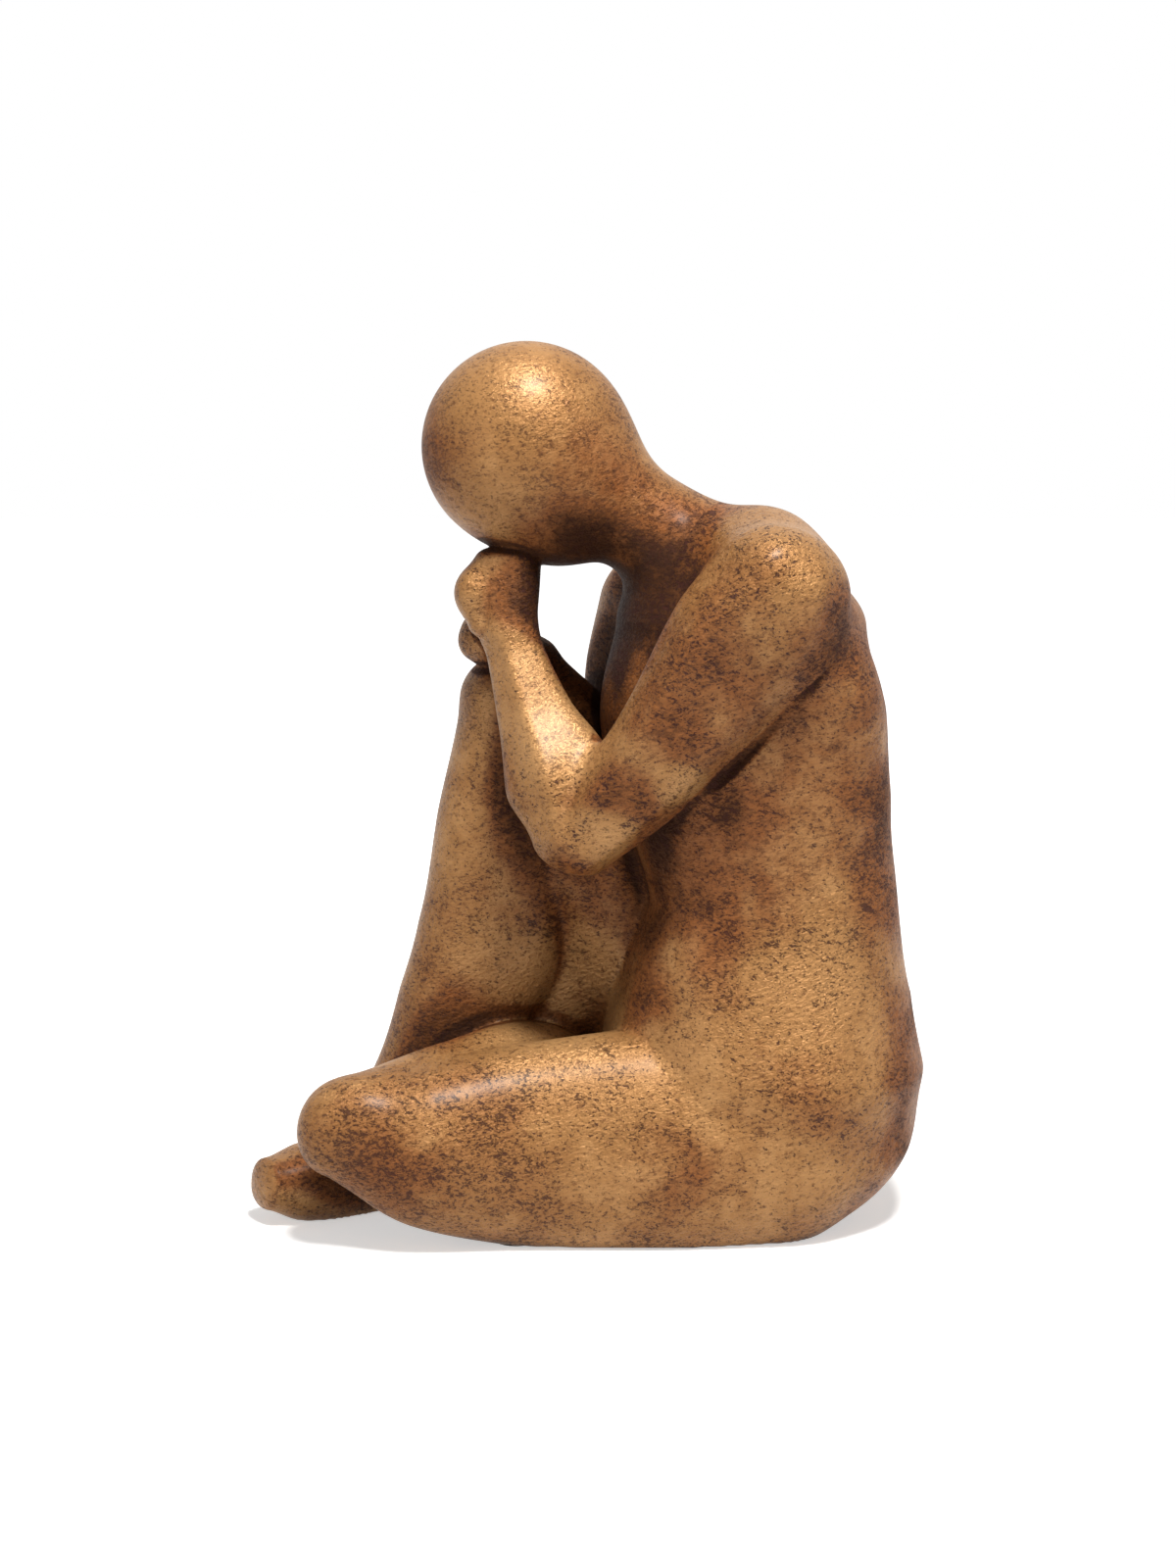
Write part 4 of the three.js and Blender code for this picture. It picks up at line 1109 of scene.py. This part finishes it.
# %% [markdown]
# The real figure is painted gold-brown with a dark umber glaze rubbed over it. The rubbing takes
# the glaze off the ridges and leaves it in the hollows and in fine pits, which read as dark
# flecks in loose clouds. One node group makes this for all of the castings, with painted shade
# and painted highlights laid into the same glaze and gold, and each material sets how much of it
# there is. First come the group's sockets and its noises, widest first.

# %% Patina group
# The pale gold also paints the highlights, and the russet and umber of the glaze also paint the shade.
GOLD = (0.24, 0.114, 0.037, 1)
RUBBED_GOLD_AND_HIGHLIGHT = (0.37, 0.2, 0.078, 1)
DIRT = (0.085, 0.03, 0.009, 1)
RUSSET_GLAZE_AND_SHADE = (0.17, 0.055, 0.014, 1)
UMBER_GLAZE_AND_SHADE = (0.036, 0.012, 0.004, 1)
FLECK = (0.032, 0.009, 0.006, 1)

NUMBER = "NodeSocketFloat"
g, given, result = new_group(
    "patina_and_painted_light",
    {"Hollow": 0.0, "Cove": 0.0, "Ridge": 0.0, "Stain": 0.0, "Flecks": 0.5, "Clouds": 0.5, "Rub": 0.5},
    {"Color": "NodeSocketColor", **dict.fromkeys(("Roughness", "Metal", "Coat", "Height"), NUMBER)})
patina_and_painted_light = g
clouds = grain(g, size_mm=30, detail=3, rough=0.55, seed=3.1)
blotch = grain(g, size_mm=9, detail=5, rough=0.66, seed=7.7)
drift = blend_value(g, 0.5, clouds, blotch)
long_dashes = grain(g, size_mm=3.2, detail=4, rough=0.72, squeeze=2.2, seed=8.3, tilt=-24)
mottle = grain(g, size_mm=2.2, detail=5, rough=0.78, squeeze=1.6, seed=2.9, tilt=12)
relief = grain(g, size_mm=1.8, detail=3, rough=0.6, squeeze=1.7, seed=4.4, tilt=20)
dashes = grain(g, size_mm=1.7, detail=4, rough=0.7, squeeze=2.3, seed=1.3, tilt=14)
specks = grain(g, size_mm=1.2, detail=2, rough=0.6, squeeze=1.5, seed=5.9, tilt=-9)
print("patina group with 7 noises")

# %% [markdown]
# The masks come next. The first is how thick the dark glaze lies, with painted shade added from
# the hollows and the dark balls. The next is where the gold was rubbed, on ridges and at random,
# with the painted highlights added. Last, "marks" are the flecks, which crowd where the glaze and
# the painted shade are thick, and the dirt thickens a little there too.

# %% Masks of the patina, with painted shade and painted highlights
# glaze in creases and coves: partly the real patina of the hollows, partly painted shade
hollow_tone_and_shade = plus(g, ramp(g, given["Hollow"], 0.02, 0.35, to_high=0.55),
              ramp(g, given["Cove"], 0.25, 0.95, to_high=0.55))
cloudy = times(g, ramp(g, clouds, 0.38, 0.66), given["Clouds"])
# painted shade from the dark balls, varied by noise, added to the glaze with the hollows
painted_shade = times(g, given["Stain"], ramp(g, drift, 0.36, 0.6, 0.75, 1.15))
glaze_and_shade = plus(g, times(g, cloudy, 0.35), plus(g, painted_shade, hollow_tone_and_shade), clamp=True)

# rubbed ridges: partly real wear, partly a painted highlight along edges
ridge_wear_and_highlight = times(g, ramp(g, given["Ridge"], 0.03, 0.2, 0, 1.5), given["Rub"])
pale = times(g, ramp(g, drift, 0.54, 0.36), given["Rub"])
# painted highlights from the light balls, added to the rubbed gold
painted_highlight = times(g, given["Stain"], -1.2, clamp=True)
rubbed_and_highlit = larger(g, larger(g, ridge_wear_and_highlight, pale), painted_highlight, clamp=True)

crowd = plus(g, blend_value(g, 0.68, drift, larger(g, dashes, long_dashes)), times(g, glaze_and_shade, 0.06))
flecks = times(g, ramp(g, crowd, 0.585, 0.625), given["Flecks"])
dotted = plus(g, specks, times(g, drift, 0.25))
dots = times(g, ramp(g, dotted, 0.74, 0.8), given["Flecks"])
marks = times(g, larger(g, flecks, dots, clamp=True), ramp(g, painted_highlight, 0.2, 1.0, 1.0, 0.35))
dirt = ramp(g, plus(g, mottle, times(g, glaze_and_shade, 0.15)), 0.52, 0.66, 0.0, 0.8)
print("glaze, bright, marks and dirt")

# %% [markdown]
# The colours are laid over one another: gold, paler where rubbed and where a highlight is painted,
# then thin glaze, dirt and thick glaze, which also carry the painted shade, then the flecks. Glaze
# is duller than gold and less of a metal.

# %% Colours and gloss of the patina
# painted highlights turn the gold pale, and painted shade deepens the russet and umber
colour = blend_colour(g, rubbed_and_highlit, GOLD, RUBBED_GOLD_AND_HIGHLIGHT)
colour = blend_colour(g, ramp(g, glaze_and_shade, 0.0, 0.5, 0.0, 0.9), colour, RUSSET_GLAZE_AND_SHADE)
colour = blend_colour(g, dirt, colour, DIRT)
colour = blend_colour(g, ramp(g, glaze_and_shade, 0.5, 1.1), colour, UMBER_GLAZE_AND_SHADE)
feed(g, result["Color"], blend_colour(g, marks, colour, FLECK))
dull = plus(g, ramp(g, glaze_and_shade, 0.0, 0.8, 0.4, 0.65), times(g, marks, 0.12))
feed(g, result["Roughness"], math_node(g, "SUBTRACT", dull, times(g, painted_highlight, 0.1)))
feed(g, result["Metal"], ramp(g, glaze_and_shade, 0.0, 0.8, 0.3, 0.02))
feed(g, result["Coat"], ramp(g, glaze_and_shade, 0.1, 0.9, 0.12, 0.01))
lumps = times(g, relief, given["Flecks"])
feed(g, result["Height"], math_node(g, "SUBTRACT", lumps, times(g, marks, 0.5)))
print("patina group with", len(g.nodes), "nodes")

# %% [markdown]
# Four resin materials share the group. The head was handled most and has the fewest flecks, and
# the body and the arms have the most.

# %% Resin
RELIEF_MM = 0.9
RESINS = {
    "resin_body": {"Flecks": 0.85, "Clouds": 0.8},
    "resin_head": {"Flecks": 0.55, "Clouds": 0.3},
    "resin_arms": {"Flecks": 0.9, "Clouds": 0.7},
    "resin_legs": {"Flecks": 0.8, "Clouds": 0.6},
}


def resin(name, amounts):
    paint, tree, shader = new_paint(name, Specular_IOR_Level=0.12, Coat_Roughness=0.3)
    finish = node(tree, "ShaderNodeGroup", {"node_tree": patina_and_painted_light}, **amounts)
    for layer in layers:
        reader = node(tree, "ShaderNodeAttribute", {"attribute_name": layer})
        feed(tree, finish.inputs[layer.capitalize()], reader.outputs["Fac"])
    drive(tree, shader, Base_Color=finish.outputs["Color"], Roughness=finish.outputs["Roughness"],
          Metallic=finish.outputs["Metal"], Coat_Weight=finish.outputs["Coat"],
          Normal=bumped(tree, finish.outputs["Height"], 1.0, RELIEF_MM))
    return paint


paints = {name: resin(name, amounts) for name, amounts in RESINS.items()}
for name, piece in dressed.items():
    piece.data.materials.append(paints[slots[name]])
print(len(paints), "resin paints")

# %% [markdown]
# The resin is poured in through a hole in the seat, which a rubber stopper closes. It is one
# outline turned about an upright line.

# %% Stopper
stop_low, stop_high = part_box("seat_plug")
stop_middle = (stop_low + stop_high) / 2
STOPPER_SIDES = 72
STOPPER_OUTLINE = [
    (0, 0.1), (4.4, 0.1), (5.0, 0.32), (5.6, 0.34), (6.2, 0.1), (12.6, 0.1), (13.2, 0.16),
    (13.5, 0.36), (13.5, 0.8), (12.0, 1.0), (11.4, 6.5), (10.6, 7.2), (0, 7.2),
]


def turned(name, outline, middle, sides):
    """A closed mesh from (radius, height) pairs in mm; the first and the last lie on the axis."""
    work = bmesh.new()
    angles = [2 * math.pi * k / sides for k in range(sides)]
    round_trip = [(math.cos(a), math.sin(a)) for a in angles]
    rings = []
    for radius, height in outline[1:-1]:
        reach = radius * MM
        rings.append([work.verts.new((middle.x + reach * c, middle.y + reach * s, height * MM))
                      for c, s in round_trip])
    ends = [work.verts.new((middle.x, middle.y, outline[k][1] * MM)) for k in (0, -1)]
    for k in range(sides):
        after = (k + 1) % sides
        for low, high in zip(rings, rings[1:]):
            work.faces.new((low[k], low[after], high[after], high[k]))
        work.faces.new((ends[0], rings[0][after], rings[0][k]))
        work.faces.new((ends[1], rings[-1][k], rings[-1][after]))
    mesh = bpy.data.meshes.new(name)
    work.to_mesh(mesh)
    work.free()
    mesh.shade_smooth()
    return show(name, mesh)


stopper_piece = turned("seat_stopper", STOPPER_OUTLINE, stop_middle, STOPPER_SIDES)
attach(stopper_piece, "root")
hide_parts("seat_plug")
print("stopper with", len(stopper_piece.data.polygons), "faces")

# %% [markdown]
# The rubber has a fine moulded texture and a little dust in it.

# %% Rubber
RUBBER = (0.026, 0.024, 0.022, 1)
DUST = (0.075, 0.068, 0.06, 1)
rubber, tree, shader = new_paint("stopper_rubber", Roughness=0.75)
dusty = ramp(tree, grain(tree, size_mm=6.0, detail=4, rough=0.6, seed=2.0), 0.45, 0.75)
dimples = bumped(tree, grain(tree, size_mm=0.5, seed=4.0), 0.4, 0.1)
drive(tree, shader, Base_Color=blend_colour(tree, dusty, RUBBER, DUST), Normal=dimples)
stopper_piece.data.materials.append(rubber)
print("rubber")

# %% [markdown]
# The pins are drawn steel rod. Drawing leaves long fine lines, so the noise is stretched a lot
# along z, which most of the pins are near.

# %% Pin steel
STEEL = (0.5, 0.5, 0.49, 1)
PALE_STEEL = (0.62, 0.62, 0.61, 1)
steel, tree, shader = new_paint("drawn_steel", Metallic=1.0)
lines = grain(tree, size_mm=0.35, detail=3, rough=0.6, squeeze=0.03, seed=6.0)
shade = grain(tree, size_mm=5.0, detail=3, seed=9.0)
drive(tree, shader, Base_Color=blend_colour(tree, shade, STEEL, PALE_STEEL),
      Roughness=ramp(tree, lines, 0.35, 0.65, 0.22, 0.42), Normal=bumped(tree, lines, 0.3, 0.05))
print("steel")

# %% [markdown]
# The pads are pressed felt: short matted fibres, dark, with no gloss and a soft pale edge to them.

# %% Felt
FELT = (0.012, 0.011, 0.01, 1)
PALE_FELT = (0.05, 0.046, 0.042, 1)
felt, tree, shader = new_paint(
    "black_felt", Roughness=0.95, Specular_IOR_Level=0.1, Sheen_Weight=0.5, Sheen_Roughness=0.5)
fibres = larger(tree, grain(tree, size_mm=0.9, detail=4, rough=0.7, squeeze=4.0, seed=1.0, tilt=35),
                grain(tree, size_mm=0.9, detail=4, rough=0.7, squeeze=0.25, seed=3.0, tilt=-20))
matted = ramp(tree, fibres, 0.45, 0.75)
drive(tree, shader, Base_Color=blend_colour(tree, matted, FELT, PALE_FELT),
      Normal=bumped(tree, fibres, 0.6, 0.2))
print("felt")

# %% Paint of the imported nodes
for name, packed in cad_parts.items():
    paint = steel if name.endswith("_pin") else felt if name.endswith("_pad") else None
    if paint:
        packed.data.materials.clear()
        packed.data.materials.append(paint)
        print(name, "has", paint.name)

# %% [markdown]
# The photograph's highlights lie on top of the head and the shoulder, so its main lamp hung
# overhead, and the room lit the upright sides, more from the left. The world is white where it is
# seen, straight, through glass or in a reflection, and a dimmer warm grey where it lights.

# %% World
ROOM = (1.0, 0.94, 0.88, 1)
WHITE = (1, 1, 1, 1)


def seen_directly(tree):
    """1 for the camera's rays and for those through glass or off a shiny face, else 0."""
    ray = tree.nodes.new("ShaderNodeLightPath").outputs
    clear = larger(tree, ray["Is Camera Ray"], ray["Is Transmission Ray"])
    return larger(tree, clear, ray["Is Glossy Ray"])


world = bpy.data.worlds.new("studio")
world.use_nodes = True
bpy.context.scene.world = world
tree = world.node_tree
tree.nodes.clear()
room = node(tree, "ShaderNodeBackground", Color=ROOM, Strength=0.2)
white = node(tree, "ShaderNodeBackground", Color=WHITE, Strength=1.0)
mixer = node(tree, "ShaderNodeMixShader", Fac=seen_directly(tree))
feed(tree, mixer.inputs[1], room.outputs[0])
feed(tree, mixer.inputs[2], white.outputs[0])
node(tree, "ShaderNodeOutputWorld", Surface=mixer.outputs[0])
bpy.context.scene.view_settings.view_transform = "Standard"
print("world set")

# %% Lamps
MIDDLE = Vector((0.0, 0.0, 0.13))


def lamp(name, place, size, power, colour):
    """A round lamp that points at the middle of the figure."""
    data = bpy.data.lights.new(name, "AREA")
    data.shape = "DISK"
    data.size = size
    data.energy = power
    data.color = colour
    made = show(name, data)
    made.location = place
    made.rotation_euler = (MIDDLE - Vector(place)).to_track_quat("-Z", "Y").to_euler()


lamp("overhead", (0.15, -0.5, 1.2), size=0.3, power=28.0, colour=(1.0, 0.98, 0.95))
lamp("front_left", (-1.1, -1.0, 0.6), size=0.9, power=3.0, colour=(1.0, 0.98, 0.96))
lamp("right_side", (1.2, -0.5, 0.6), size=0.8, power=1.5, colour=(1.0, 0.97, 0.94))
print("3 lamps")

# %% [markdown]
# The floor is pale and keeps the figure's soft shadow. It glows a little where it is seen, and
# more further out, so that it fades into the white backdrop.

# %% Floor
SPAN = 6.0
FLOOR_CORNERS = [(-SPAN, -SPAN, 0), (SPAN, -SPAN, 0), (SPAN, SPAN, 0), (-SPAN, SPAN, 0)]
FADE_START = 0.15
FADE_END = 0.9
floor_mesh = bpy.data.meshes.new("floor")
floor_mesh.from_pydata(FLOOR_CORNERS, [], [(0, 1, 2, 3)])
floor = show("floor", floor_mesh)
floor_paint, tree, shader = new_paint(
    "floor_paint", Base_Color=(0.8, 0.8, 0.8, 1), Roughness=0.9, Specular_IOR_Level=0.1)
place = tree.nodes.new("ShaderNodeTexCoord").outputs["Object"]
away = node(tree, "ShaderNodeVectorMath", {"operation": "LENGTH"})
feed(tree, away.inputs[0], place)
fade = ramp(tree, away.outputs["Value"], FADE_START, FADE_END, 0.5, 1.0)
glow = node(tree, "ShaderNodeEmission", Color=WHITE, Strength=times(tree, fade, seen_directly(tree)))
adder = tree.nodes.new("ShaderNodeAddShader")
feed(tree, adder.inputs[0], shader.outputs[0])
feed(tree, adder.inputs[1], glow.outputs[0])
feed(tree, tree.nodes["Material Output"].inputs["Surface"], adder.outputs[0])
floor_mesh.materials.append(floor_paint)
print("floor")
